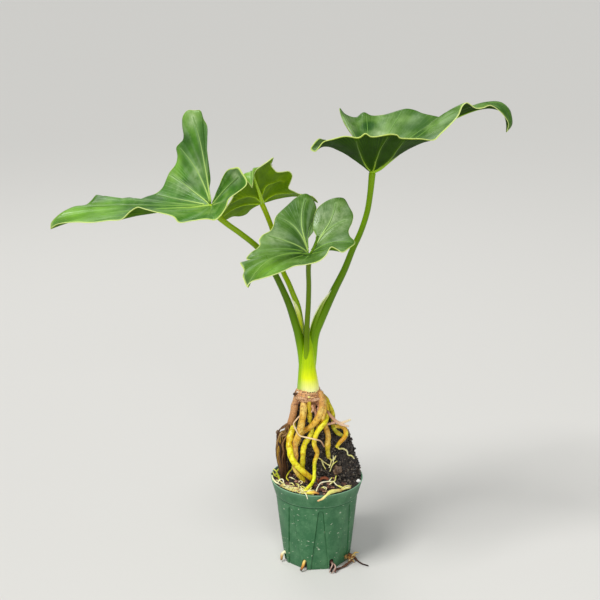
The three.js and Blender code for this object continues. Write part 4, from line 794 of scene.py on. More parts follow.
# Patches of painted sheen, painted shade and lighter yellow-green: kind, x, height, and half width and
# height in millimetres
PATCHES = {
    "blade_left": [
        (SHEEN, -125, 436, 6, 13), (SHEEN, -142, 420, 12, 5), (SHEEN, -130, 489, 5, 7),
        (SHEEN, -82, 444, 4, 8),
        (LIGHTER_YELLOW_GREEN, -250, 397, 26, 10), (LIGHTER_YELLOW_GREEN, -222, 401, 16, 6), (PAINTED_SHADE, -230, 409, 6, 4),
        (PAINTED_SHADE, -139, 459, 7, 14),
        (PAINTED_SHADE, -119, 470, 5, 26), (PAINTED_SHADE, -132, 425, 7, 3), (LIGHTER_YELLOW_GREEN, -146, 446, 5, 10), (PAINTED_SHADE, -104, 432, 6, 14),
    ],
    "blade_front": [
        (SHEEN, 20, 398, 13, 12), (SHEEN, 4, 396, 6, 12), (PAINTED_SHADE, -30, 406, 11, 10), (SHEEN, -42, 384, 9, 7),
        (LIGHTER_YELLOW_GREEN, -48, 362, 16, 7), (SHEEN, -6, 377, 10, 4), (PAINTED_SHADE, -24, 372, 9, 5),
    ],
    "blade_right": [
        (SHEEN, 30, 478, 9, 8), (SHEEN, 66, 470, 10, 5), (PAINTED_SHADE, 100, 478, 16, 5), (PAINTED_SHADE, 152, 493, 12, 5),
        (PAINTED_SHADE, 180, 500, 10, 7), (SHEEN, 8, 472, 10, 6), (PAINTED_SHADE, 44, 466, 8, 6),
    ],
}
print("painted patches:", {name: len(patches) for name, patches in PATCHES.items()})


# %% Places on a blade
def surface_normal(place, at, t):
    t = max(t, 0.03)
    ahead = place(at + 0.1, t) - place(at - 0.1, t)
    outward = place(at, min(1, t + 0.01)) - place(at, t - 0.01)
    return ahead.cross(outward).normalized()


def vein_route(place, numbers, reach, start):
    """The middle line of a vein with the blade's normal there."""
    route = []
    for k in range(start, VEIN_STEPS + 1):
        share = k / VEIN_STEPS
        at, t = read_list(numbers, share), share * reach
        route.append((place(at, t), surface_normal(place, at, t)))
    return route


def nearness(place, point):
    """0 on the side of the blade away from the viewer, 1 well in front of the joint."""
    return between(*NEAR_SPAN, point.y - place(1, 0).y)


def fade(away, reach, power=2):
    """1 at a place, and falling smoothly to 0 beyond its reach."""
    return math.exp(-(away / reach) ** power)


# %% The sheet of a blade
def paint_blade(layers, name, place, numbers, nearest_vein, strengths):
    """Puts the points on the surface, and keeps how near each is to a vein, the margin and the patches."""
    for v, (at, t) in numbers.items():
        v.co = place(at, t)
        _, which, away = nearest_vein.find(v.co)
        margin_away = (v.co - place(at, 1)).length
        v[layers[VEIN_NEAR]] = strengths[which] * fade(away, VEIN_HALO)
        edge_share = FAR_EDGE + (1 - FAR_EDGE) * nearness(place, v.co)
        v[layers[EDGE_NEAR]] = fade(margin_away, EDGE_HALO) * edge_share
        for kind, x, height, half_wide, half_high in PATCHES.get(name, []):
            apart = ((v.co.x - x) / half_wide) ** 2 + ((v.co.z - height) / half_high) ** 2
            v[layers[kind]] = max(v[layers[kind]], math.exp(-apart))
        dark_shares = [fade((v.co - Vector(middle)).length, reach, 6) for middle, reach in DARK_PATCHES.get(name, [])]
        v[layers[DARK_PATCH]] = max(dark_shares, default=0)


def blade_sheet(bm, name, place, columns, routes, strengths):
    """The thick sheet of a blade, painted, quilted and a little uneven."""
    kinds = (VEIN_NEAR, EDGE_NEAR, DARK_PATCH, SHEEN, PAINTED_SHADE, LIGHTER_YELLOW_GREEN)
    layers = {kind: bm.verts.layers.float.new(kind) for kind in kinds}
    leaf_map = bm.loops.layers.uv.new(LEAF_MAP)
    bmesh.ops.create_grid(bm, x_segments=columns - 1, y_segments=BLADE_ROWS, size=0.5)
    numbers = {}
    for v in bm.verts:
        at = 1 + round((v.co.x + 0.5) * (columns - 1)) / MARGIN_CUTS
        numbers[v] = (at, round((v.co.y + 0.5) * BLADE_ROWS) / BLADE_ROWS)
    for face in bm.faces:
        for loop in face.loops:
            loop[leaf_map].uv = numbers[loop.vert]
    nearest_vein = KDTree(sum(len(route) for route in routes))
    for k, route in enumerate(routes):
        for point, _ in route:
            nearest_vein.insert(point, k)
    nearest_vein.balance()
    paint_blade(layers, name, place, numbers, nearest_vein, strengths)
    bmesh.ops.remove_doubles(bm, verts=bm.verts, dist=0.001)
    bm.normal_update()
    lifts = []
    for v in bm.verts:
        _, which, away = nearest_vein.find(v.co)
        depth = QUILT_DEPTH * (0.3 + 0.7 * strengths[which])
        quilt = -depth * fade(away, QUILT_REACH) * (1 - v[layers[EDGE_NEAR]])
        ripple = sum(height * noise.noise(v.co * often) for height, often in RIPPLES)
        lifts.append((v, v.normal * (quilt + ripple + BLADE_HALF)))
    for v, lift in lifts:
        v.co += lift
    upper = set(bm.faces)
    bmesh.ops.solidify(bm, geom=bm.faces[:], thickness=2 * BLADE_HALF)
    for face in bm.faces:
        face.material_index = 0 if face in upper else 1


# %% The four blades, built
def build_blade(name):
    leaf = LEAVES[name]
    place, run = open_blade(leaf)
    known = VEIN_STRENGTHS[name]
    strengths = known + [FAINT] * (len(VEINS[name]) - len(known))
    routes = [vein_route(place, numbers, reach, 2 if strength > CLEAR_VEIN else 5)
              for (numbers, reach), strength in zip(VEINS[name], strengths)]
    bm = bmesh.new()
    blade_sheet(bm, name, place, len(run), routes, strengths)
    bead = [FAR_BEAD + (NEAR_BEAD - FAR_BEAD) * nearness(place, point) for point in run]
    add_strand(bm, run, bead, MARGIN_TINTS, sides=6, step=1.6, material=2)
    for k, (route, strength) in enumerate(zip(routes, strengths)):
        radii, tints = VEIN_RADII, VEIN_TINTS if strength > PALE_VEIN else FAINT_TINTS
        if k == 0:
            radii, tints = MIDRIB_RADII[name], MIDRIB_TINTS[name]
        radii = [radius * (0.5 + 0.5 * strength) for radius in radii]
        sunk = [Vector(leaf["joint"])] if k == 0 else []
        for i, (point, normal) in enumerate(route):
            radius = read_list(radii, i / (len(route) - 1))
            sunk.append(point + normal * (BLADE_HALF + VEIN_RISE - radius))
        add_strand(bm, sunk, radii, tints, sides=7, step=2.5, material=2)
        if k and strength > CLEAR_VEIN:
            below = [point - normal * UNDER_VEIN_DEPTH for point, normal in route]
            add_strand(bm, below, UNDER_VEIN_RADII, UNDER_VEIN_TINTS[name], sides=7, step=2.5, material=2)
    return finish_piece(bm, name, [*LEAF_FINISHES[name], pale_margin], node=[name], slot="leaf_blade")


for name in LEAVES:
    build_blade(name)

# %% [markdown]
# ## Leaf stalks
#
# The stalks grow out of one another like the leaves of a leek, each with a pale sheath at its foot. They
# are cream where they were wrapped up, then lime, and turn olive green higher up where they have seen the
# light. Two of them still show the thin pointed end of their sheath, one of these with a pale edge, and a
# dried tip is left at a third. One short thick strand is the leek-like base that they share. The routes
# follow the photograph, and each is written as its points and its radii from end to end.

# %% Stalk routes
STALK_FRONT = ([
    (-10.5, -3, 202), (-10.8, -4, 219), (-11.6, -7, 242), (-11.5, -9.6, 264.5), (-11, -12, 280),
    (-10, -16, 298.5), (-9.5, -24, 324), (-10, -34, 343), (-9.5, -43, 356), (-9, -47, 362),
], [3.2, 2.9, 2.9, 2.9, 2.8, 2.7, 2.6, 2.6, 2.9])
STALK_LEFT = ([
    (-15.2, -1, 199), (-15.6, -1, 216), (-16.8, -1.5, 239), (-20.2, -3, 262.5), (-24, -4, 277),
    (-29.6, -5, 295.5), (-35, -6, 309.5), (-43.5, -8, 329), (-53, -9, 347.5), (-63, -10, 361),
    (-80.5, -11, 376), (-94, -11, 386), (-103, -11, 394), (-109.5, -10, 404),
], [6.8, 4, 4.6, 4.1, 3.4, 3.2, 3, 2.9, 3.2])
STALK_RIGHT = ([
    (-4.2, 0.5, 199), (-6.4, 0, 215.5), (-5.5, 0, 238.5), (-3.5, 0, 261.5), (1.8, 0, 276), (9, 0, 292.5),
    (17.6, 0, 311.5), (28, 0, 333.5), (36.5, 0, 356), (44.5, 0, 374.5), (51, 0, 396), (54, 0, 417),
    (55, 0, 429.5), (55.5, 0, 436),
], [6.6, 4.8, 5.2, 5.6, 5.3, 4.5, 3.9, 3.5, 3.2, 3, 3, 3.1, 3.6])
STALK_BACK = ([
    (-10.5, 7, 199), (-12.5, 5.5, 213.5), (-14, 6, 236.5), (-16.5, 8, 258.5), (-18, 10, 272.5),
    (-21, 14, 289.5), (-26, 18, 301.5), (-31, 22, 313), (-36.5, 27, 323.5), (-42.5, 36, 345.5),
    (-49, 44, 368), (-55, 51, 382.5), (-59.5, 54.5, 392),
], [5.5, 4.5, 4.2, 3.3, 2.9, 2.8, 2.7, 2.7, 2.9])
SHEATH_RIGHT = ([
    (15, -1, 312.5), (12.4, -1.8, 308), (7.8, -2.6, 301.5), (2.2, -3, 290), (-2.6, -3, 277.5),
    (-5.6, -2.6, 264), (-6.4, -1.5, 248),
], [0.8, 1.5, 2.3, 3.1, 3.5, 3.7, 3.6])
SHEATH_BACK = ([
    (-28.2, 9, 299), (-26.4, 8, 297.4), (-23.8, 6.6, 293.4), (-22, 5.4, 288.6), (-19.9, 4.2, 281),
    (-18.2, 3.2, 272), (-17.4, 2.6, 262), (-16.4, 2, 250),
], [0.5, 1.6, 2.9, 3.3, 3.3, 3.1, 3, 2.8])

# %% [markdown]
# ## Stalk skin
#
# The skin is waxy and fairly shiny, with faint darker streaks along the stalk. Its colour changes with
# height, so it is painted by height.

# %% Colours by height
STALK_COLOURS = [
    (199, "#eef0a0"), (204, "#e0ec50"), (213, "#c6e31e"), (232, "#9ccc02"), (262, "#6e9a02"),
    (300, "#557a02"), (360, "#5c8204"), (430, "#7aa008"),
]
# The left stalk grows lighter towards its blade: partly its own colour, and partly a painted highlight where
# the light catches it and shines through it.
LEFT_COLOURS = [(199, "#eef0a0"), (213, "#c6e31e"), (232, "#96c402"), (262, "#5f8802"), (300, "#4b6c02"),
                (345, "#557802"), (375, "#82a40a"), (404, "#9cbc14")]
OLIVE_COLOURS = [(199, "#e6ea80"), (214, "#b9d91c"), (238, "#86ac02"), (262, "#5f7c02"), (360, "#607c02")]
LIME_COLOURS = [(199, "#eef0a0"), (215, "#cfe82a"), (240, "#a9d602"), (270, "#88a602"), (310, "#84a402"),
                (345, "#90ac02"), (400, "#a8c008")]
LEEK_COLOURS = [(200, "#fffdb4"), (206, "#fcff8c"), (215, "#f4ff1c"), (229, "#c2e204"), (268, "#7fae02")]
GREEN_SIDE = "#7fb400"


def by_height(height, stops):
    """The colour at a height. A stop is (height, hex colour)."""
    i = max(0, min(len(stops) - 2, sum(1 for mark, _ in stops if mark <= height) - 1))
    share = min(1, max(0, (height - stops[i][0]) / (stops[i + 1][0] - stops[i][0])))
    return blend_colours(linear(stops[i][1]), linear(stops[i + 1][1]), share)


def stalk_paint(stops):
    def paint(point):
        left_side = between(-13, -21, point.x) if point.z < 250 else 0
        low = 1 - between(205, 250, point.z)
        return blend_colours(by_height(point.z, stops), linear(GREEN_SIDE), 0.7 * left_side * low)
    return paint


waxy_stalk, tree, shader = new_material("waxy_leaf_stalk", {"Roughness": 0.3, "Specular IOR Level": 0.16})
streaks = grain(tree, 1.6, detail=4, stretch=(1, 1, 0.06))
painted = add_node(tree, "ShaderNodeAttribute", {"attribute_name": TINT}).outputs["Color"]
dress(tree, shader, layered(tree, painted, [("#5a7e08", streaks, 0.45, 0.75, 0.22)]), streaks, 0.08)
print("colours along a stalk:", len(STALK_COLOURS))

# %% Stalks and sheaths
STALKS = {
    "petiole_front": (STALK_FRONT, OLIVE_COLOURS, None),
    "petiole_left": (STALK_LEFT, LEFT_COLOURS, None),
    "petiole_right": (STALK_RIGHT, STALK_COLOURS, SHEATH_RIGHT),
    "petiole_back": (STALK_BACK, LIME_COLOURS, SHEATH_BACK),
}
SHEATH_TINTS = {
    "petiole_right": ["#e4e8a8", "#9cb04c", "#6c9010", "#648c02", "#6c9802"],
    "petiole_back": ["#f6f6d0", "#ecf09c", "#e0ea48", "#d6e618", "#c8e008", "#b4d604"],
}
SHEATH_EDGE = ([
    (15.2, -1.8, 313), (11.2, -3.4, 308), (5.6, -4.7, 301.5), (-0.9, -5.4, 290), (-5.9, -5.6, 277.5),
    (-8.8, -5.2, 266),
], [0.35, 0.6, 0.6, 0.5, 0.35])
DRIED_TIP = ([(-33.4, -7.5, 299), (-32, -7, 295), (-29.8, -6, 289)], [0.3, 0.6, 0.5])
LEEK_BASE = ([
    (-8.9, -0.6, 201.2), (-9.2, -0.8, 206.5), (-9.6, -1.2, 213), (-10, -1.4, 224), (-10.3, -1.4, 240),
    (-10.3, -1, 256), (-10.6, -1, 268),
], [12.5, 11.1, 9.6, 8.8, 7.8, 6, 3.4])


def leek_paint(point):
    """Cream at the very foot, lime above it, and greener at the left side."""
    left_side = between(-13, -20, point.x)
    share = 0.7 * left_side * between(262, 225, point.z)
    return blend_colours(by_height(point.z, LEEK_COLOURS), linear("#a2d400"), share)


for name, (route, colours, sheath) in STALKS.items():
    bm = bmesh.new()
    add_strand(bm, *route, [], sides=18, step=2, paint=stalk_paint(colours))
    if sheath:
        add_strand(bm, *sheath, SHEATH_TINTS[name], sides=14, step=2, flat=0.8)
    if name == "petiole_right":
        add_strand(bm, *SHEATH_EDGE, ["#eef0cc", "#e6eeb0", "#d4e67a"], sides=8)
        add_strand(bm, *LEEK_BASE, [], sides=40, flat=0.86, paint=leek_paint)
    if name == "petiole_left":
        add_strand(bm, *DRIED_TIP, ["#b09060", "#c9b070", "#8fae20"], sides=8)
    finish_piece(bm, name, [waxy_stalk], node=[name], slot="leaf_stalk")

# %% [markdown]
# ## The crown
#
# The stem is only a short stump yet. Old leaves have left rings round it and a row of small dark pits just
# under the green, and the skin has frayed into pinkish brown fibres. Knobs and stumps of roots stand out
# below. Its form is one profile, grown ring by ring and then roughened along its normals. The fibres are
# short strands placed by seeded random numbers, each lying against the stem.

# %% Crown
CROWN_CENTRE = Vector((-9.4, 0, 0))
CROWN_PROFILE = [
    (0.5, 175), (5, 176), (7, 180), (9, 185), (12, 188.5), (14.6, 191), (15.6, 192.4), (15.0, 194),
    (15.3, 195.2), (13.8, 196.2), (13.9, 197.6), (12.9, 199.6), (11.9, 201.2), (0.5, 201.6),
]
CROWN_KNOBS = [
    ([(0, -8, 188), (3, -12, 185), (4.5, -13, 181.5), (2.5, -12, 178)], [3, 2.4, 1.6],
     ["#b07a52", "#c98f6c"]),
    ([(-4, -9, 184), (-3, -12, 180), (-1, -13, 175.5)], [3, 2, 1.4], ["#a8704a", "#cf9a7c"]),
    ([(-19, -4, 195), (-25, -6, 196)], [2.0, 1.5], ["#4a3020", "#2a1a10"]),
    ([(-9, -9, 195.4), (-9, -14.2, 195.6)], [2.2, 1.8], ["#d9cf60", "#f2ec86"]),
    ([(1.5, -3, 197.5), (5.6, -5, 198.2)], [1.8, 1.4], ["#d9b890", "#efdcc0"]),
    ([(-17, -5, 197.5), (-21.4, -7.5, 199)], [1.8, 1.2], ["#d9b890", "#f0dcc4"]),
    ([(-20, -6, 187), (-25.5, -7, 184)], [2.4, 1.4], ["#8f6242", "#b5835a"]),
    ([(-1, -12, 176), (-1.5, -14, 172), (-3.5, -15.5, 169.5)], [1.7, 1.5, 1.3], ["#b98462", "#e0b090"]),
    ([(2.5, -11, 184), (0.5, -14, 181), (1.5, -14.6, 178)], [1.6, 1.3, 0.9], ["#c08a68", "#d9a688"]),
    ([(-24, -3, 190), (-20.5, -9.5, 193), (-14, -13.6, 193.8), (-8.5, -14.6, 192)], [1.3, 2, 2.1, 1.4],
     ["#b9804e", "#d8a678", "#e2b488", "#c48e62"]),
    ([(-20, -8.5, 190.5), (-15, -13.8, 190.6), (-10.5, -14.4, 191)], [1.2, 1.7, 1.2], ["#c08a5a", "#e0b080"]),
    ([(-7, -14, 191.5), (-2.5, -14.4, 192.8), (1.8, -12.4, 193)], [1.2, 1.8, 1.4], ["#cf9a74", "#e6bc98"]),
    ([(1.5, -13, 190.6), (5.2, -10.4, 192.2), (7.2, -6.5, 193), (7.6, -2, 192.4)], [1.2, 1.7, 1.6, 1.1],
     ["#b9804e", "#d8a678", "#c48e62"]),
    ([(-5.5, -13.4, 185.5), (-4.5, -14.6, 182), (-6.2, -15, 179)], [1.5, 1.3, 0.8], ["#cf9a74", "#ecc4a0"]),
    ([(5.2, -11.5, 186), (4.4, -13.8, 183.4)], [1.4, 0.9], ["#d8ac50", "#e8cc70"]),
]
# The pits are small dark ellipsoids on the stem: their dark colour is painted shade, in place of hollows
CROWN_PITS = [(-15.5, 200.5), (-13.0, 200.2), (-10.3, 200.1), (-7.6, 200.2), (-5.0, 200.4), (-2.8, 200.6)]
PIT_RING = 12.9  # radius of the stem where the pits are
PIT_HALF = (0.75, 0.5, 0.55)
CROWN_SIDES = 72
FIBRE_COUNT = 130


def crown_paint(point):
    return blend_colours(linear("#e8b078"), linear("#b88450"), between(193, 185, point.z))


crown_bark, tree, shader = new_material("fibrous_crown_bark", {"Roughness": 0.78})
rings = grain(tree, 2.2, detail=5, stretch=(0.35, 0.35, 1))
painted = add_node(tree, "ShaderNodeAttribute", {"attribute_name": TINT}).outputs["Color"]
dress(tree, shader, layered(tree, painted, [
    ("#6a4020", grain(tree, 1.6, detail=4), 0.46, 0.66, 0.8), ("#f0c896", rings, 0.52, 0.7, 0.5),
]), rings, 0.5)
# The pits' finish is painted shade
painted_pit_shade, tree, shader = new_material("pit_painted_shade", {"Roughness": 0.9})
shader.inputs["Base Color"].default_value = (*linear("#2c160c"), 1)
print("points of the crown's profile:", len(CROWN_PROFILE))

# %% The turned stump
bm = bmesh.new()
profile = smooth_run([(radius, 0, z) for radius, z in CROWN_PROFILE], 4)
bmesh.ops.create_circle(bm, segments=CROWN_SIDES, radius=1, cap_ends=True)
rim = bm.edges[:]
here = Matrix.Identity(4)
tint_layer = bm.verts.layers.float_color.new(TINT)
for point in profile:
    there = Matrix.Translation(CROWN_CENTRE + Vector((0, 0, point.z)))
    there = there @ Matrix.Diagonal((point.x, point.x, 1, 1))
    ring, rim = grow_ring(bm, rim)
    bmesh.ops.transform(bm, matrix=there @ here.inverted(), verts=ring)
    here = there
first_ring = [v for v in bm.verts if v.co.z < 10]
bmesh.ops.delete(bm, geom=first_ring, context="VERTS")
bmesh.ops.holes_fill(bm, edges=[e for e in bm.edges if e.is_boundary])
bmesh.ops.recalc_face_normals(bm, faces=bm.faces)
bm.normal_update()
for v in bm.verts:
    banded = Vector((v.co.x * 0.25, v.co.y * 0.25, v.co.z * 1.4))
    out = 0.9 * noise.noise(v.co * 0.45) + 0.7 * noise.noise(banded)
    v.co += v.normal * (out - 0.15)
    v[tint_layer] = (*crown_paint(v.co), 1)
for k, knob in enumerate(CROWN_KNOBS):
    add_strand(bm, *knob, sides=12, step=0.9, knobs=0.15, seed=k)
print("points of the stump:", len(bm.verts))

# %% Fibres and pits
random.seed(5)
for k in range(FIBRE_COUNT):
    turn = random.uniform(0, 2 * math.pi)
    height = random.uniform(188, 199)
    low, high = [CROWN_PROFILE[i:i + 2] for i in range(len(CROWN_PROFILE) - 1)
                 if CROWN_PROFILE[i][1] <= height][-1]
    radius = low[0] + (high[0] - low[0]) * (height - low[1]) / (high[1] - low[1]) + 0.15
    sweep = random.uniform(0.15, 0.5) * random.choice((-1, 1))
    drop = random.uniform(-3.2, 0.6)
    fibre = [CROWN_CENTRE + Vector((radius * math.cos(turn + sweep * s), radius * math.sin(turn + sweep * s),
                                    height + drop * s * s + 0.4 * s)) for s in (0, 0.5, 1)]
    shade = random.choice((["#dcb08c", "#eccbaa"], ["#b98560", "#cf9c78"], ["#8a5a3c", "#b07c58"]))
    add_strand(bm, fibre, [0.3, 0.42, 0.2], shade, sides=5, step=1.6)
for x, z in CROWN_PITS:
    outward = math.sqrt(PIT_RING ** 2 - (x - CROWN_CENTRE.x) ** 2)
    pit = Matrix.Translation((x, -outward, z)) @ Matrix.Diagonal((*PIT_HALF, 1))
    made = bmesh.ops.create_icosphere(bm, subdivisions=2, radius=1, matrix=pit)["verts"]
    for v in made:
        for face in v.link_faces:
            face.material_index = 1
finish_piece(bm, "crown", [crown_bark, painted_pit_shade], node=["crown"], slot="crown")

# %% [markdown]
# ## Roots
#
# Aerial roots of this plant are as thick as a pencil lead or a drinking straw and never branch much. The
# skin of a young one is a clean yellow, that of an older one turns ochre and corky, and a dead one dries to
# a dark brown fibre. Lower down they have brown joints and patches where they were rubbed. Each colour list
# below goes from the crown to the tip. The routes follow the photograph.

# %% Root routes
ROOTS = {
    "root_front_yellow": [
        ([
            (4, -4, 192), (8.5, -7, 186), (11, -8, 178.5), (11, -9.5, 173), (10, -12, 169.5),
            (8, -16.5, 167), (3.5, -19.5, 162.5), (-0.5, -21, 157), (-2.5, -22, 151), (-3.5, -23, 146),
            (-2, -23, 140.5), (0, -23, 135.5), (-0.5, -23, 131), (-2.5, -23.5, 125.5), (-3, -24, 119),
            (-3, -26, 112), (-3.5, -28, 106.5), (-5.5, -32, 103), (-9.5, -37, 100.5), (-12.5, -40, 98.5),
            (-14.5, -41.5, 94.5),
        ], [2.3, 2.4, 2.6, 2.8, 2.6, 2.5, 2.2, 1.9, 1.9, 1.7]),
        ([
            (-1.5, -23, 130), (3, -17, 125), (7, -13, 119.5), (10, -12, 117), (14.5, -13, 114.5),
        ], [0.9, 0.8, 0.8, 0.7]),
    ],
    "root_left_yellow": [
        ([
            (-18, 8, 190), (-21, 9.5, 182), (-24, 9.5, 174), (-26.5, 5, 166.5), (-26, -2, 160.5),
            (-26.5, -8, 156), (-28, -11.5, 153), (-29.5, -14, 148.5), (-30.5, -18, 143), (-29.5, -22, 137),
            (-28, -26, 131), (-24.5, -28, 125), (-19, -28.5, 119), (-13, -27.5, 112.5), (-8.5, -25, 107.5),
            (-5, -22, 102), (-2, -18, 95),
        ], [2.5, 2.7, 3, 3.3, 3.4, 3.4, 3.3, 2.9, 2.4]),
        ([
            (-25.5, -26, 124), (-27.5, -18, 113), (-31, -12, 106), (-33.5, -13, 100.5), (-31, -17, 98.5),
        ], [1, 0.8, 0.7, 0.7]),
    ],
    "root_middle_ochre": [([
        (3.5, -7.5, 197.5), (5.3, -11.5, 190.5), (4.5, -14, 182.5), (2.5, -15, 175.5), (-1, -16, 169),
        (-5.5, -15, 163), (-10.5, -12, 158), (-14, -9, 154), (-17.5, -5, 147.5), (-19.5, -3, 139.5),
        (-21, 1, 131),
    ], [3.2, 3.5, 3.4, 3.1, 2.8, 2.7])],
    "root_left_ochre": [([
        (-14, -7.5, 198), (-14.6, -11.8, 189.5), (-15, -15, 179), (-16.5, -17, 169), (-18.5, -18, 159),
        (-21, -18, 151), (-23.5, -17, 143.5), (-24, -17, 135), (-23.5, -18, 127.5), (-24.5, -19, 121),
        (-24, -22, 116), (-21, -23, 110.5), (-16.5, -22, 104.5), (-13, -20, 95),
    ], [3.3, 3.7, 3.8, 3.6, 3.2, 3, 3, 2.8])],
    "root_right_ochre": [
        ([
            (3, 3, 188), (6.5, 0, 177.5), (7.5, -3, 169), (8.5, -7, 160.5), (10.5, -10, 155.5),
            (12, -12, 149.5), (11.5, -13, 142), (11.5, -14, 135), (12, -14.5, 129), (12.5, -14.5, 125.5),
        ], [2.4, 2.5, 2.7, 2.9, 3, 3, 2.8, 2.1]),
        ([
            (12.5, -14, 125.5), (15.5, -12.5, 121.5), (18.5, -11.5, 121.5), (20.5, -11, 125.5),
        ], [1.1, 1, 0.8, 0.6]),
        ([(15.5, -12.5, 121.5), (15, -12.5, 117), (13.5, -13, 112.5)], [0.9, 0.7, 0.6]),
    ],
    "root_right_green": [
        ([
            (3, 0, 195), (7.5, -2, 192), (10.5, -3, 189), (13, -4, 183.5), (16, -5, 177), (17.5, -5, 170),
            (17.5, -4.5, 164), (17, -4, 159), (19, -4, 154), (22.5, -4, 150), (26.5, -2, 146.5),
            (30, 2, 141.5), (32, 6, 135.5),
        ], [2.1, 2.1, 2.2, 2.3, 2.3, 2.2, 2.1]),
        ([
            (17.5, -4, 161.5), (19, -3, 157.5), (23, -3, 157.5), (27, -5, 158), (30.5, -7, 155),
            (31.5, -8, 150.5), (29.5, -9, 146), (26, -11, 143), (23, -12, 139.5), (21.5, -12, 137),
        ], [1.4, 2.2, 2.5, 2.6, 2.5, 2.3, 1.9]),
        ([
            (22, -12, 138), (24, -11, 134), (28, -9, 133.5), (33, -6.5, 129), (34, -6, 124.5),
            (38, -3.5, 122.5), (41, -1, 118),
        ], [1.2, 0.9, 0.8, 0.7]),
    ],
    "root_middle_yellow": [([
        (-9.3, -9, 198), (-9.4, -12.8, 192), (-8.5, -13, 185), (-8, -12, 177.5), (-8, -8, 165.5),
        (-6, -7, 157), (-6, -9, 153), (-9, -13, 147.5), (-13, -16, 143), (-15, -18, 135.5),
        (-15.5, -18, 126), (-16, -17, 117), (-16, -16, 106), (-15.5, -14, 95.5),
    ], [2.2, 2.3, 2.6, 2.8, 3, 3, 2.8, 2.5])],
    "root_left_brown": [
        ([
            (-20.5, -2.5, 196), (-23.6, -4, 187.5), (-25.5, -5, 174.5), (-28, -5, 165.5), (-31.5, -4, 153),
            (-35.5, -4, 145), (-36.5, -4, 133), (-37, -6, 121), (-36, -8, 108.5), (-35.5, -9, 95.5),
            (-35, -9, 88.5),
        ], [2.8, 3.8, 3.9, 3, 2.7, 3.2, 3.4, 3.2, 2.6]),
        ([
            (-32, -5, 152.5), (-39, -7.5, 151.5), (-41, -8.5, 143.5), (-42, -9, 129.5), (-40.5, -10, 118.5),
            (-39, -11, 108), (-37.5, -11, 97),
        ], [1.3, 1.9, 2.6, 2.9, 2.8, 2.2]),
        ([(-41.5, -9, 149), (-44.5, -10, 153), (-43, -10, 155.5)], [0.9, 0.7, 0.5]),
        ([(-31, -6, 151.5), (-35, -10.5, 149.5), (-40, -10.5, 148.5)], [0.9, 1.1, 0.9]),
    ],
    "root_inner_brown": [([
        (7.5, -8, 193.5), (8, -12.5, 186), (8.5, -14, 180), (6.5, -16, 173.5), (5, -13.5, 167),
        (1.5, -8, 159.5), (-1, -4, 152), (-2, -1, 142.5), (-2, 2, 134),
    ], [1.9, 2, 2, 1.8])],
    "root_thin_pink": [([
        (-19.5, -20.5, 176), (-23.5, -22, 171.5), (-25.5, -23, 168.5), (-23, -24, 162), (-19, -24.5, 155.5),
        (-13, -25.5, 154), (-6, -27, 153), (-1, -26.5, 151.5), (3.5, -23, 148.5), (7.5, -17.5, 139.5),
    ], [0.9, 0.8, 0.8, 0.9, 0.8, 0.7])],
    "twig_root": [
        ([
            (11, -10.5, 178), (14.5, -12, 173.5), (18, -11, 169), (21.5, -10, 165.5), (26.5, -9, 163.5),
            (29.5, -8.5, 164.5), (36, -8, 167),
        ], [1.4, 1.6, 1.8, 1.7, 1.5, 1.5, 1.1]),
        ([(20.5, -10.5, 166), (24.5, -10.5, 163), (28.5, -10, 161.5), (34, -9.5, 160)], [1.4, 1.4, 1]),
        ([(21, -10, 166), (16, -9.5, 163.5), (11.5, -9.5, 162.5)], [1.4, 1.4, 1.1]),
    ],
}

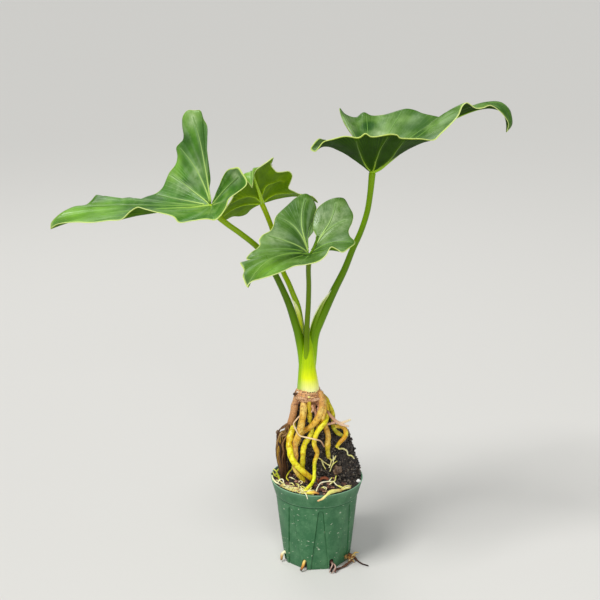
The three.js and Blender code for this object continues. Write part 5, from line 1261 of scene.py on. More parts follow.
# %% Root colours
ROOT_TINTS = {
    "root_front_yellow": [
        ["#d2a838", "#d6b02c", "#d8c41e", "#dfd61c", "#ece61a", "#ebe41a", "#e6c428", "#d8a430", "#c98f2c",
         "#cfd01a", "#d4e012", "#dcee14", "#e2f01c", "#e8f03a"],
        ["#efe49a", "#f6f0c0"],
    ],
    "root_left_yellow": [
        ["#c79a5a", "#c29a4a", "#c8a83a", "#cdbf34", "#d8ce20", "#d9b428", "#e4dc10", "#e8e20e", "#e2d818",
         "#dcae22", "#e2c01e", "#e6d81a"],
        ["#a9aa16", "#b4b81a", "#c4c830"],
    ],
    "root_middle_ochre": [["#d89a5c", "#e2aa54", "#ecba44", "#e6b23a", "#dca434", "#c28a28"]],
    "root_left_ochre": [
        ["#d89c58", "#deaa54", "#e2b244", "#e6b440", "#e8b83a", "#d69e4c", "#dca654", "#c89420", "#d8c41e",
         "#d8cc20"],
    ],
    "root_right_ochre": [
        ["#c98f48", "#d09c34", "#d8b030", "#dfae40", "#e2b048", "#dba63e", "#dfb430", "#cfbe1e", "#c6c414"],
        ["#e6e65a", "#f0eea0"], ["#efe9a6", "#f8f4cc"],
    ],
    "root_right_green": [
        ["#b09a34", "#b6ac1c", "#b3b00c", "#a8a808", "#8f9408", "#747a0a", "#5f680c", "#6a6c10"],
        ["#c2a46a", "#dfae50", "#e2b238", "#d9a422", "#cf9416", "#c8b41c"],
        ["#e8e27a", "#f2eeb4", "#f4f0c4"],
    ],
    "root_middle_yellow": [
        ["#c7a03c", "#c9aa26", "#cfb41e", "#e6dc1e", "#efe71c", "#ebe31a", "#d8c21e", "#c9bf16", "#b9b414",
         "#c8c41a"],
    ],
    "root_left_brown": [
        ["#d8a878", "#d8a26c", "#cf9862", "#bc8450", "#94683c", "#6a4826", "#54361e", "#3f2616", "#341e12"],
        ["#9a7a48", "#a5823a", "#a87f2c", "#6e4c26", "#4c301a", "#3a2214"],
        ["#a8865a", "#7c5c34"], ["#a8865a", "#8a6840"],
    ],
    "root_inner_brown": [["#cf9844", "#d2a134", "#d0a02c", "#a87c28", "#8f6a24"]],
    "root_thin_pink": [["#d9b088", "#e8caa0", "#ecd0a4", "#f0d8a8", "#e2b894", "#c99a84"]],
    "twig_root": [["#a8785c", "#cf9c7e", "#e2b694", "#ecd2ac", "#f0e2b8"], ["#e0b494", "#ecd2b4"],
                  ["#d2a286", "#dfb69a"]],
}
print("roots:", len(ROOTS), "with tints for", len(ROOT_TINTS))

# %% Root skins
THICK_ROOT = 1.5  # thicker roots get more sides and longer steps
YELLOW_KINDS = ("root_front_yellow", "root_left_yellow", "root_middle_yellow", "root_right_green")
OCHRE_KINDS = ("root_middle_ochre", "root_left_ochre", "root_right_ochre", "root_inner_brown")

yellow_skin = tinted_skin("smooth_yellow_root_skin", 0.3, 0.25, 3.4, 0.85, "#b07a0c", "#fffc50")
ochre_skin = tinted_skin("corky_ochre_root_skin", 0.42, 0.4, 2.4, 0.85, "#8a4e18", "#fbe27c")
dry_skin = tinted_skin("dry_root_fibre", 0.7, 0.6, 1.2, 0.65, "#2a180c")
pale_skin = tinted_skin("pale_rootlet_skin", 0.5, 0.1, 1.5, 0.3, "#b98f50")
print("root finishes:", [skin.name for skin in (yellow_skin, ochre_skin, dry_skin, pale_skin)])

# %% The frayed dry root
DRY_FIBRES = 34
DRY_SHADES = (["#a07a4c", "#7a5430", "#4a3018"], ["#c4a06a", "#94703c", "#54381e"],
              ["#5e4024", "#40281a", "#2c1a12"], ["#d8b040", "#b08828", "#6a4622"])
DRY_LOOPS = [
    [
        (-31.5, -8, 151), (-31, -8.5, 157), (-33, -9, 162.5), (-35.5, -9.5, 159.5), (-40.6, -10, 156),
        (-41.8, -10, 151), (-40.8, -9.5, 145.5),
    ],
    [
        (-36.5, -9, 150.5), (-38.6, -11, 153), (-41.5, -11.5, 148), (-43.4, -11, 139), (-43.4, -10.5, 130),
        (-41.6, -10.5, 121),
    ],
    [
        (-34.2, -8, 161.4), (-38.2, -9.5, 158.6), (-43, -10, 152), (-42.6, -11.5, 143), (-39.6, -12, 136),
        (-40.2, -12.5, 127), (-38.2, -12.5, 116),
    ],
    [
        (-31.5, -7.5, 150.5), (-34.5, -11, 147), (-37.5, -12, 140), (-36.5, -12.5, 131), (-38, -12.5, 121),
        (-36.6, -12, 108),
    ],
]


def add_dry_fibres(bm, parts):
    """A dead root frays into fibres, which run along it and stand off a little."""
    for k, loop in enumerate(DRY_LOOPS):
        add_strand(bm, loop, [0.7, 1.1, 1.2, 0.9, 0.6], DRY_SHADES[k % 3], sides=8, step=1.2, knobs=0.3,
                   seed=k)
    random.seed(3)
    for k in range(DRY_FIBRES):
        path, radii = parts[k % 2]
        run = even_run(path, 3)
        first = random.randrange(len(run) // 3)
        last = random.randrange(2 * len(run) // 3, len(run))
        side = random.uniform(0, 2 * math.pi)
        away = max(radii) * random.uniform(0.75, 1.15)
        if k % 2 == 0:
            first = max(first, len(run) // 3)
        fibre = []
        for i in range(first, last, 3):
            drift = side + 0.5 * math.sin(i * 0.5 + k)
            fibre.append(run[i] + Vector((math.cos(drift) * away * 0.95, math.sin(drift) * away * 0.8, 0)))
        if len(fibre) > 2:
            thick = random.uniform(0.45, 1.0)
            add_strand(bm, fibre, [thick * share for share in (0.7, 1, 0.8, 0.4)], random.choice(DRY_SHADES),
                       sides=7, step=1.5, knobs=0.3, seed=k)


print("fibres of the dry root:", DRY_FIBRES)

# %% Roots
for name, parts in ROOTS.items():
    slot, skin = "pale_root", pale_skin
    if name in YELLOW_KINDS:
        slot, skin = "yellow_root", yellow_skin
    elif name in OCHRE_KINDS:
        slot, skin = "tan_root", ochre_skin
    elif name == "root_left_brown":
        slot, skin = "brown_root", dry_skin
    bm = bmesh.new()
    for k, (path, radii) in enumerate(parts):
        sides, step, knobs = (16, 1.2, 0.12) if max(radii) > THICK_ROOT else (9, 0.9, 0.2)
        add_strand(bm, path, radii, ROOT_TINTS[name][k], sides=sides, step=step, knobs=knobs,
                   seed=k + len(name))
    if name == "root_left_brown":
        add_dry_fibres(bm, parts)
    finish_piece(bm, name, [skin], node=[name], slot=slot)

# %% [markdown]
# ## The potting mix
#
# The mix is damp black peat with grit in it. It came out of a deeper pot and kept its shape, so it stands
# up behind the roots as a steep mound. Its height is a formula: a nearly flat bed, and a rounded block
# whose sides fall off steeply. Rings of points go up the pot's wall and then inwards over the mound. Three
# thick strands stand in it as the cores of its peaks and soften the step behind, and noise pushes each
# point in or out.

# %% Mix
MIX_WALL = [(1.5, 34.4), (76, 43.1), (80, 44.0), (86, 46.2), (91, 47.7), (95.3, 48.9)]
MOUND_CENTRE = Vector((4, 12))
MOUND_HALF = (38, 22)
MOUND_SQUARENESS = 2.6
MOUND_SHARES = [(0, 150), (0.5, 150), (0.8, 145), (0.92, 133), (1.01, 117), (1.12, 104), (1.24, 95.5)]
# The rings over the mound, close together where it is steep, as shares of its half width
MIX_RINGS = [1.9, 1.7, 1.55, 1.42, 1.32, 1.25] + [1.22 - 0.012 * k for k in range(38)]
MIX_RINGS += [0.75, 0.7, 0.64, 0.56, 0.46, 0.34, 0.2, 0.08]
MIX_LEVEL = 95.5
MIX_SIDES = 240
MIX_CORES = [
    ([(-6, 6, 125), (-8, 5, 150), (-9.5, 4.5, 166), (-9.4, 3, 183)], [15.5, 15, 15, 12]),
    ([(6, 8, 125), (7, 6, 150), (5, 4, 168), (-1, 3, 182)], [14, 12.5, 11.5, 8]),
    ([(3, 17, 126), (1, 15, 147), (-3, 11, 160), (-6, 8, 169)], [22, 18.5, 13, 9]),
]


def mound_share(x, y):
    across = abs(x - MOUND_CENTRE.x) / MOUND_HALF[0]
    along = abs(y - MOUND_CENTRE.y) / MOUND_HALF[1]
    return (across ** MOUND_SQUARENESS + along ** MOUND_SQUARENESS) ** (1 / MOUND_SQUARENESS)


def mix_height(x, y):
    share = mound_share(x, y)
    bed = MIX_LEVEL + 9 * max(0, 1 - math.hypot(x, y) / 49.9)
    lumps = 0.7 * math.sin(x * 0.55 + 1) * math.sin(y * 0.6 + 2) + 0.5 * math.sin(x * 1.1 - y * 0.9)
    if share >= MOUND_SHARES[-1][0]:
        return bed + lumps
    (low, low_z), (high, high_z) = [MOUND_SHARES[i:i + 2] for i in range(len(MOUND_SHARES) - 1)
                                    if MOUND_SHARES[i][0] <= share][-1]
    return max(bed, low_z + (high_z - low_z) * (share - low) / (high - low)) + lumps


def crumble(bm, above, depth):
    """Pushes the points above a height in and out like crumbly mix."""
    bm.normal_update()
    moves = []
    for v in bm.verts:
        if v.co.z > above:
            rough = noise.noise(v.co * 0.2) + 0.8 * noise.noise(v.co * 0.55) + 0.5 * noise.noise(v.co * 1.3)
            moves.append((v, v.normal * depth * (rough - 0.25)))
    for v, move in moves:
        v.co += move


print("height of the mound in mm:", round(mix_height(*MOUND_CENTRE)))

# %% The mix, ring by ring
damp_mix, tree, shader = new_material("damp_black_peat", {"Roughness": 0.7})
peat = [(0.34, "#0a0807"), (0.48, "#211b16"), (0.58, "#40362d"), (0.72, "#7c6f62")]
dress(tree, shader, grain_colours(tree, peat, 1.6, 6, rough=0.7), grain(tree, 1.6, detail=6, rough=0.7), 0.8)
uneven_gloss(tree, shader, 2.4, 3, 0.4, 0.62, 0.8, 0.3)

bm = bmesh.new()
bmesh.ops.create_circle(bm, segments=MIX_SIDES, radius=MIX_WALL[0][1], cap_ends=True,
                        matrix=Matrix.Translation((0, 0, MIX_WALL[0][0])))
rim = [e for e in bm.edges if e.is_boundary]
for z, radius in MIX_WALL[1:]:
    ring, rim = grow_ring(bm, rim)
    for v in ring:
        out = Vector((v.co.x, v.co.y, 0)).normalized() * radius
        v.co = Vector((out.x, out.y, z))
for share in MIX_RINGS:
    ring, rim = grow_ring(bm, rim)
    for v in ring:
        flat = Vector((v.co.x, v.co.y))
        flat = flat.lerp(MOUND_CENTRE, max(0.004, 1 - share / mound_share(*flat)))
        v.co = Vector((*flat, mix_height(*flat)))
bmesh.ops.contextual_create(bm, geom=rim)
bmesh.ops.recalc_face_normals(bm, faces=bm.faces)
crumble(bm, 95, 1.7)
for path, radii in MIX_CORES:
    add_strand(bm, path, radii, ["#000000"] * 2, sides=40, step=1.2, knobs=0.12, seed=4)
crumble(bm, 146, 1.0)
fine_mix = finish_piece(bm, "potting_mix", [damp_mix], node=["potting_mix"], slot="potting_mix")

# %% [markdown]
# ## The pot
#
# A nursery pot is injection-moulded in one shot from recycled plastic, a little over 1 mm thick. It tapers
# so that pots stack, a rim band stiffens the top, and shallow arched flutes stiffen the wall. Slots at the
# foot, one between each two flutes, let the water out. The wall is drawn ring by ring. Each ring puts its
# points at the flutes' edges, so that the edges run straight up the wall, and the slots are cut by a
# boolean. The plastic catches pale light along the lip and the step below the band, which is painted there
# as a thin line.

# %% Pot
POT_HEIGHT = 97
FOOT_RADIUS, WALL_TOP_RADIUS = 37.8, 45.6
BAND_LEVEL, BAND_RADIUS = 80.2, 46.4  # where the rim band starts
BAND_FLARE, BAND_HEIGHT = 4.6, 16.3  # how much wider the band gets over its height
FLUTE_COUNT = 8
FLUTE_TURN = 5
FLUTE_RECESS = 0.8
FLUTE_GROOVE = 0.75  # how much deeper a flute is along its edges
FLUTE_LIP = 0.5
FLUTE_FOOT_HALF, FLUTE_TOP_HALF = 10.2, 3  # half its width at the foot and below its arch
FLUTE_SHOULDER = 71
FLUTE_TOP = 76
SLOT_TURN = -20.5
SLOT_WIDTH = 5
SLOT_HEIGHT = 13
POT_WALL = 1.1
LIP_HIGHLIGHT = "lip_highlight"


def pot_radius(z):
    """Outer radius before the flutes, of the wall or of the rim band."""
    if z < BAND_LEVEL:
        return FOOT_RADIUS + (WALL_TOP_RADIUS - FOOT_RADIUS) / BAND_LEVEL * z
    return BAND_RADIUS + BAND_FLARE * (z - BAND_LEVEL) / BAND_HEIGHT


def flute_half_width(z):
    if z < FLUTE_SHOULDER:
        return FLUTE_FOOT_HALF + (FLUTE_TOP_HALF - FLUTE_FOOT_HALF) * z / FLUTE_SHOULDER
    up_arch = (z - FLUTE_SHOULDER) / (FLUTE_TOP - FLUTE_SHOULDER)
    return FLUTE_TOP_HALF * math.sqrt(max(0.01, 1 - up_arch ** 2))


def pot_ring(z, radius, fluted):
    """The places of one ring. Its points gather at the edges of the flutes."""
    half = flute_half_width(min(z, FLUTE_TOP))
    edge = math.asin(half / radius)
    lip = FLUTE_LIP / radius
    pitch = 2 * math.pi / FLUTE_COUNT
    depth = fluted * FLUTE_RECESS
    plane = radius * math.cos(edge) - depth
    marks = [(u / 5 * edge, plane / math.cos(u / 5 * edge) if fluted else radius) for u in range(-5, 6)]
    for k in (0, 10):
        marks[k] = (marks[k][0], marks[k][1] - fluted * FLUTE_GROOVE)
    rest = pitch - 2 * (edge + lip)
    marks.append((edge + lip * 0.5, radius - depth * 0.25))
    marks += [(edge + lip + rest * k / 13, radius) for k in range(14)]
    marks.append((pitch - edge - lip * 0.5, radius - depth * 0.25))
    places = []
    for k in range(FLUTE_COUNT):
        for turn, distance in marks:
            angle = math.radians(FLUTE_TURN - 90) + k * pitch + turn
            places.append(Vector((distance * math.cos(angle), distance * math.sin(angle), z)))
    return places


def pot_levels():
    """(height, radius, fluted) from the foot up the outside and down the inside."""
    levels = [(0, pot_radius(0) - 0.7, 1), (0.3, pot_radius(0) - 0.15, 1), (1, pot_radius(1), 1)]
    levels += [(z, pot_radius(z), 1) for z in range(8, 70, 7)]
    rise = FLUTE_TOP - FLUTE_SHOULDER
    arch = [FLUTE_SHOULDER + rise * math.sin(math.radians(a)) for a in range(0, 90, 9)]
    levels += [(z, pot_radius(z), 1) for z in arch]
    levels += [(76.1, pot_radius(76.1), 0), (79.0, 45.4, 0), (79.3, 44.85, 0), (80.0, 44.8, 0),
               (80.1, 46.2, 0)]
    levels += [(80.4, 46.5, 0)] + [(z, pot_radius(z), 0) for z in (81.3, 84, 90)]
    levels += [(95.8, 50.75, 0), (96.5, 50.95, 0), (96.85, 50.9, 0), (POT_HEIGHT, 50.65, 0),
               (POT_HEIGHT, 50.1, 0)]
    levels += [(96.8, 49.9, 0), (90, pot_radius(90) - 1.15, 0), (81, 44.4, 0), (76.1, 43.9, 0)]
    levels += [(z, pot_radius(z) - POT_WALL, 1) for z in (75.9, 71, 40, 1.2)]
    return levels


print("levels of the pot:", len(pot_levels()))

# %% Green plastic
pot_plastic, tree, shader = new_material("dusty_green_moulded_plastic", {
    "Roughness": 0.5, "Specular IOR Level": 0.35,
})
body = layered(tree, "#336a42", [
    ("#5c8c62", grain(tree, 14, detail=7, rough=0.72), 0.44, 0.68, 0.8),
    ("#275a36", grain(tree, 5, detail=4, stretch=(1, 1, 0.25)), 0.5, 0.8, 0.35),
    ("#c2ccb4", grain(tree, 3.3, detail=4, stretch=(0.7, 0.7, 1.3)), 0.665, 0.7, 0.85),
    # A painted highlight along the lip and the step below the band
    ("#93bfa0", LIP_HIGHLIGHT, 0, 1, 1),
])
dress(tree, shader, body, grain(tree, 1.4, detail=4), 0.06)
uneven_gloss(tree, shader, 7, 5, 0.35, 0.7, 0.4, 0.62)
print("finish of the pot:", pot_plastic.name)

# %% The wall of the pot
levels = pot_levels()
bm = bmesh.new()
places = pot_ring(*levels[0])
bmesh.ops.create_circle(bm, segments=len(places), radius=1, cap_ends=True)
bm.verts.ensure_lookup_table()
ring = bm.verts[:]
for v, where in zip(ring, places):
    v.co = where
rim = [e for e in bm.edges if e.is_boundary]
for level in levels[1:]:
    fresh, rim = grow_ring(bm, rim)
    fresh = set(fresh)
    above = [next(e.other_vert(v) for e in v.link_edges if e.other_vert(v) in fresh) for v in ring]
    for v, where in zip(above, pot_ring(*level)):
        v.co = where
    ring = above
bmesh.ops.contextual_create(bm, geom=rim)
bmesh.ops.recalc_face_normals(bm, faces=bm.faces)
pot_mesh = bpy.data.meshes.new("uncut_pot")
bm.to_mesh(pot_mesh)
bm.free()
uncut_pot = bpy.data.objects.new("uncut_pot", pot_mesh)
print("the pot before its slots:", len(pot_mesh.polygons), "faces")

# %% The drain slots
cutter = bmesh.new()
for k in range(FLUTE_COUNT):
    alone = bmesh.new()
    arch_level = SLOT_HEIGHT - SLOT_WIDTH / 2
    upright = Matrix.Translation((0, -45, arch_level)) @ Matrix.Rotation(math.pi / 2, 4, "X")
    bmesh.ops.create_circle(alone, segments=24, radius=SLOT_WIDTH / 2, cap_ends=True, matrix=upright)
    low = [v for v in alone.verts if v.co.z < arch_level - 0.01]
    bmesh.ops.translate(alone, vec=(0, 0, -SLOT_HEIGHT), verts=low)
    depth = bmesh.ops.extrude_face_region(alone, geom=alone.faces[:])["geom"]
    bmesh.ops.translate(alone, vec=(0, 14, 0), verts=[g for g in depth if isinstance(g, bmesh.types.BMVert)])
    turn = Matrix.Rotation(math.radians(SLOT_TURN + k * 360 / FLUTE_COUNT), 4, "Z")
    bmesh.ops.transform(alone, matrix=turn, verts=alone.verts)
    bmesh.ops.recalc_face_normals(alone, faces=alone.faces)
    append_to(cutter, alone)
cutter_mesh = bpy.data.meshes.new("slot_cutter")
cutter.to_mesh(cutter_mesh)
cutter.free()
slot_cutter = bpy.data.objects.new("slot_cutter", cutter_mesh)
bpy.context.scene.collection.objects.link(uncut_pot)
bpy.context.scene.collection.objects.link(slot_cutter)
cut = uncut_pot.modifiers.new("slots", "BOOLEAN")
cut.operation = "DIFFERENCE"
cut.solver = "EXACT"
cut.object = slot_cutter
bpy.context.view_layer.update()
cut_mesh = bpy.data.meshes.new_from_object(uncut_pot.evaluated_get(bpy.context.evaluated_depsgraph_get()))
bm = bmesh.new()
bm.from_mesh(cut_mesh)
lip_highlight = bm.verts.layers.float.new(LIP_HIGHLIGHT)
# The painted highlight: a line at the lip, and a fainter one at the step below the band
for v in bm.verts:
    outside = between(44, 46, math.hypot(v.co.x, v.co.y))
    v[lip_highlight] = outside * max(0.6 * fade(v.co.z - POT_HEIGHT, 1), 0.3 * fade(v.co.z - 80.4, 0.5))
bpy.data.objects.remove(uncut_pot)
bpy.data.objects.remove(slot_cutter)
fine_pot = finish_piece(bm, "pot", [pot_plastic], node=["pot"], slot="pot")
fine_pot.data.set_sharp_from_angle(angle=math.radians(32))

# %% [markdown]
# ## Bark, stone and perlite
#
# Bark chips are split flakes, so each is a flat lump with corners left on it. They lie in the top of the
# mix, mostly in front of the mound. The stone is a rounded bit of gravel, and perlite is a popped grain of
# white volcanic glass.

# %% Chips and grains
CHIPS = {
    "bark_chip_1": ((-31, -24), (5.5, 3.4, 1.9), 20, 12),
    "bark_chip_2": ((-21, -32), (4.6, 3, 1.8), -35, -14),
    "bark_chip_3": ((-29, -8), (4.2, 2.8, 1.7), 60, 10), "bark_chip_4": ((4, -38), (4.6, 3.4, 1.8), 15, -10),
    "bark_chip_5": ((13, -33.5), (5, 2.8, 1.9), 70, 12), "bark_chip_6": ((-9, -31.5), (3, 2.4, 1.5), -20, 8),
    "bark_chip_7": ((29, -24), (4, 2.6, 1.6), -50, 12), "bark_chip_8": ((-14, 37.5), (5, 3.2, 1.8), 10, -8),
    "bark_chip_9": ((22, 38), (4.4, 3, 1.6), 80, 10),
}
STONE = ((22, -12.5), (5.4, 4.6, 6.4), 30, 12, 6.5)
PERLITE = ((45.5, -15), (2.4, 2.1, 2), 0, 15, 1)
LUMP_SEAT = 0.35  # how much of half its thickness a lump's middle lies above the mix


def add_lump(bm, at, half, turn, tilt, lift=0.0, detail=2, rough=0.5, seed=0, material=0):
    """A rough lump that sits in the top of the mix."""
    alone = bmesh.new()
    x, y = at
    bmesh.ops.create_icosphere(alone, subdivisions=detail, radius=1)
    for v in alone.verts:
        v.co *= 1 + rough * (noise.noise(v.co * 1.3 + Vector((seed, 0, 0))) - 0.25)
    where = Matrix.Translation((x, y, mix_height(x, y) + half[2] * LUMP_SEAT + lift))
    where = where @ Matrix.Rotation(math.radians(turn), 4, "Z") @ Matrix.Rotation(math.radians(tilt), 4, "X")
    bmesh.ops.transform(alone, matrix=where @ Matrix.Diagonal((*half, 1)), verts=alone.verts)
    for face in alone.faces:
        face.material_index = material
    append_to(bm, alone)


def earthy(name, dark, mid, pale, rough, size_mm):
    """Bark, gravel or crumb: three shades that follow a grain, and a rough skin."""
    material, tree, shader = new_material(name, {"Roughness": rough})
    body = grain_colours(tree, [(0.35, dark), (0.52, mid), (0.7, pale)], size_mm, 5, rough=0.65)
    dress(tree, shader, body, grain(tree, size_mm * 0.5, detail=4), 0.4)
    return material


bark = earthy("red_brown_bark", "#24130d", "#553429", "#9c705a", 0.8, 1.8)
pinkish_bark = earthy("pinkish_split_bark", "#46291e", "#8f6450", "#dcb496", 0.6, 2.2)
brown_stone = earthy("brown_gravel", "#3a2a1e", "#705844", "#a89078", 0.45, 4)
popped_glass = earthy("white_perlite", "#e2e0da", "#f2f1ec", "#fbfbf8", 0.8, 1)
wet_grit = earthy("wet_black_grit", "#0c0b0a", "#26221e", "#4e4942", 0.16, 2)
pale_grit = earthy("pale_dusty_crumb", "#453d33", "#6b6052", "#a0968a", 0.5, 2)
dull_grit = earthy("dull_brown_crumb", "#1c130e", "#33241b", "#57453a", 0.75, 2)

for k, (name, chip) in enumerate(CHIPS.items()):
    bm = bmesh.new()
    add_lump(bm, *chip, rough=0.6, seed=3 * k)
    finish_piece(bm, name, [bark], node=[name], slot="bark", smooth=False)
for name, lump, rough, seed, finish in [
    ("stone", STONE, 0.45, 9, brown_stone), ("perlite", PERLITE, 0.25, 2, popped_glass),
]:
    bm = bmesh.new()
    add_lump(bm, *lump, detail=4, rough=rough, seed=seed)
    finish_piece(bm, name, [finish], node=[name], slot=name)

# %% [markdown]
# ## Loose crumbs
#
# Up close the mix is thousands of crumbs. Those that show are strewn over its surface by seeded random
# numbers, each a rough grain with 20 faces, stretched and turned at random: half of them wet and black, a
# third pale and dusty, and the rest dull brown. Small flakes of bark lie among them in front of the mound.

# %% Bark flakes
FLAKE_COUNT = 95
CRUMB_COUNT = 4200


def in_front_bed():
    """A random place on the bed in front of the mound, inside the pot's wall."""
    while True:
        x, y = random.uniform(-46, 46), random.uniform(-46, 10)
        if math.hypot(x, y) < 45.5 and mound_share(x, y) > 1.12 and x < 24:
            return x, y


random.seed(21)
bm = bmesh.new()
for k in range(FLAKE_COUNT):
    size = random.uniform(1.3, 3.2)
    half = (size, size * random.uniform(0.5, 0.8), size * random.uniform(0.3, 0.5))
    add_lump(bm, in_front_bed(), half, random.uniform(0, 180), random.uniform(-28, 28),
             lift=random.uniform(0, 0.6), seed=k, material=k % 2)
finish_piece(bm, "bark_flakes", [bark, pinkish_bark], smooth=False)

# %% Crumbs
bm = bmesh.new()
batch = bmesh.new()
surface = [(v.co / MM, v.normal.copy()) for v in fine_mix.data.vertices if v.co.z > 95 * MM]
for k in range(CRUMB_COUNT):
    point, normal = random.choice(surface)
    size = random.uniform(0.5, 1.6)
    jitter = Vector([random.uniform(-0.4, 0.4) for _ in range(3)])
    where = Matrix.Translation(point + normal * size * LUMP_SEAT + jitter)
    turned = Matrix.Rotation(random.uniform(0, 3), 4, "X") @ Matrix.Rotation(random.uniform(0, 3), 4, "Y")
    shape = Matrix.Diagonal((size, size * random.uniform(0.6, 1), size * random.uniform(0.6, 1), 1))
    made = bmesh.ops.create_icosphere(batch, subdivisions=1, radius=1, matrix=where @ turned @ shape)["verts"]
    finish = random.choice((0, 0, 0, 1, 2, 2))
    for v in made:
        for face in v.link_faces:
            face.material_index = finish
    if len(batch.verts) > 1200:
        append_to(bm, batch)
        batch = bmesh.new()
append_to(bm, batch)
finish_piece(bm, "crumbs", [wet_grit, dull_grit, pale_grit], smooth=False)

# %% [markdown]
# ## Rootlets
#
# Fine young roots creep over the mix and over the rim. They are nearly white, with pale yellow-green bases.

# %% Rootlet routes
ROOTLETS = {
    "root_over_rim": [
        ([
            (26, -38.5, 97.6), (20, -42.5, 99), (14, -47.3, 99.8), (9.5, -51.8, 98.2), (5, -54, 95),
            (0.5, -54.5, 93),
        ], [1.3, 2, 2.2, 1.7, 1.4, 0.8]),
        ([(24.5, -39, 98), (27.5, -34.5, 98.3), (31, -29.5, 98.3), (34, -28, 97)], [0.9, 0.7]),
        ([(25.5, -38.8, 97.8), (31, -35, 98), (36, -31, 96.8)], [0.9, 0.9, 0.8]),
    ],
    "rootlet_front_white": [
        ([
            (-1, -41, 97.6), (0.5, -34, 98.8), (4, -27, 100.6), (11, -24, 101), (18.5, -22, 100.2),
            (20.5, -15, 101.8), (22, -11.5, 106.5),
        ], [0.8, 0.8, 0.9, 0.8, 0.6]),
        ([(18, -22.2, 100.2), (21, -28.5, 99.2), (25.5, -31.5, 97.6)], [0.8, 0.7, 0.6]),
        ([(13, -23.5, 101), (15, -19.5, 102), (16.5, -18, 103)], [0.7, 0.6, 0.5]),
    ],
    "rootlets_left": [
        ([(-41, -11, 97), (-42.5, -9, 101), (-45, -8, 106), (-48, -7, 108)], [1.1, 1, 0.8, 0.6]),
        ([(-42, -10, 99.5), (-46, -11, 102), (-48.5, -11, 106.5)], [0.9, 0.8, 0.6]),
        ([(-44.5, -8, 105), (-42.5, -8, 108), (-39.5, -8, 109.5)], [0.7, 0.7, 0.5]),
        ([(-43.5, -9, 103), (-47, -6, 101), (-47.5, -3, 97.5)], [0.8, 0.7, 0.6]),
    ],
    "rootlet_left_rim": [([
        (-49.5, -3, 98.4), (-48.2, -12, 98.4), (-44.5, -20, 98), (-40.5, -22, 96.5),
    ], [0.7, 1, 1, 0.8])],
    "rootlet_left_white": [([
        (-43, -17.5, 96.5), (-40, -14.5, 99), (-37.5, -15.5, 99.5), (-36.5, -18.5, 97),
    ], [0.8, 0.7])],
}

# %% Rootlets
ROOTLET_TINTS = {
    "root_over_rim": ["#c9a25c", "#e6dc86", "#e9e67c", "#ece88a", "#dca878"],
    "rootlet_front_white": ["#ece8b4", "#f6f2d2", "#f2eecb", "#e6e67c", "#d9dc58"],
    "rootlets_left": ["#c6cc3e", "#a8b41e", "#b9c438", "#dfe27a"],
    "rootlet_left_rim": ["#f4f2c4", "#ecebae", "#f4f2c4"],
    "rootlet_left_white": ["#f0ecc2", "#f8f4d8"],
}
BARK_CURL = ([(0, -25, 98.5), (3.5, -19, 101.5), (9, -17.5, 102.5), (14, -20.5, 100.5)], [1.4, 2, 2, 1.3])
RIM_STRAND = [(-39, -26.5, 96.6), (-33, -33.5, 97), (-26, -39, 97.2), (-19, -43, 97.2), (-12, -46, 97.2),
              (-4, -47.5, 96.8)]
OVER_LIP = [(-14.5, -44.6, 97.4), (-12.6, -49, 98.6), (-11.6, -51.6, 97.8), (-10.5, -53, 94.5)]
SHRED_COUNT = 130
RIM_LUMPS = ([(-11, -45.8, 98), (-6.5, -46.6, 98.7), (-2, -46.8, 98.9), (1.4, -46.8, 97.8)],
             [1.1, 1.8, 1.6, 0.9])
LUMP_TINTS = ["#e8e25a", "#ecd03c", "#dfa44c", "#a86838"]
LOOSE_ROOTLETS = [
    [(5, -16, 122), (7, -17, 117), (9.5, -18, 113)], [(22, -12, 120), (17, -15, 117), (14, -17, 110)],
    [(17.5, -11, 126), (18, -12.5, 121), (17, -14, 116.5)],
    [(-22, -30, 99.5), (-18, -33, 99.2), (-16, -37, 98.6), (-12, -40, 98.4)],
    [(-17, -31, 99.3), (-13, -35.5, 98.8), (-12.5, -41, 98.2)],
    [(28, -34.5, 97.6), (31, -34, 98.6), (35, -31, 98.2), (37, -29, 97)],
    [(28.5, -32, 97.8), (32, -30.5, 99), (37, -27.5, 98)],
    [(23.5, -28.5, 98.6), (26, -31, 98), (30, -33, 97.4)],
    [(-30, -13, 101), (-27.5, -17, 102), (-24, -19, 101)],
    [(-45, -14, 98), (-41, -17, 98.6), (-37, -22, 98.2)],
    [(-13, -44, 97.6), (-8, -46.3, 98.2), (-3, -45.6, 98.4), (1, -46.6, 97)],
    [(-12, -41, 98), (-7, -44, 98.6), (-2, -44.6, 98.2)],
    [(-7, -30, 100), (-10, -33, 100.2), (-12, -37.5, 99.6), (-14, -41, 98.4)],
    [(-23, -27, 100), (-20, -30.5, 100.3), (-20.5, -35, 99)],
    [(7, -33, 99.4), (10, -36, 99.2), (9, -40, 98)],
    [(13, -30, 100), (15.5, -27.5, 100.8), (17, -25, 100.6)],
    [(4, -37, 99), (6, -35.5, 99.8), (8.5, -38, 99)],
    [(-20, -25, 101), (-17.5, -23.5, 102), (-16, -26, 101), (-18, -29, 100.4)],
    [(-30, -25, 99.6), (-27, -27, 100.4), (-25, -31, 99.4)],
    [(-8, -34, 99.6), (-6.5, -37, 99.8), (-8.5, -40, 98.8)],
]

for name, parts in ROOTLETS.items():
    bm = bmesh.new()
    for k, part in enumerate(parts):
        add_strand(bm, *part, ROOTLET_TINTS[name], sides=9, step=0.8, knobs=0.25, seed=k)
    slot = "yellow_root" if name == "rootlets_left" else "pale_root"
    finish_piece(bm, name, [pale_skin], node=[name], slot=slot)

bm = bmesh.new()
add_strand(bm, *BARK_CURL, ["#8a4a30", "#9c5a3c", "#7a3e28"], sides=12, step=1, flat=0.6, knobs=0.1, seed=1)
finish_piece(bm, "bark_curl", [dry_skin], node=["bark_curl"], slot="bark")

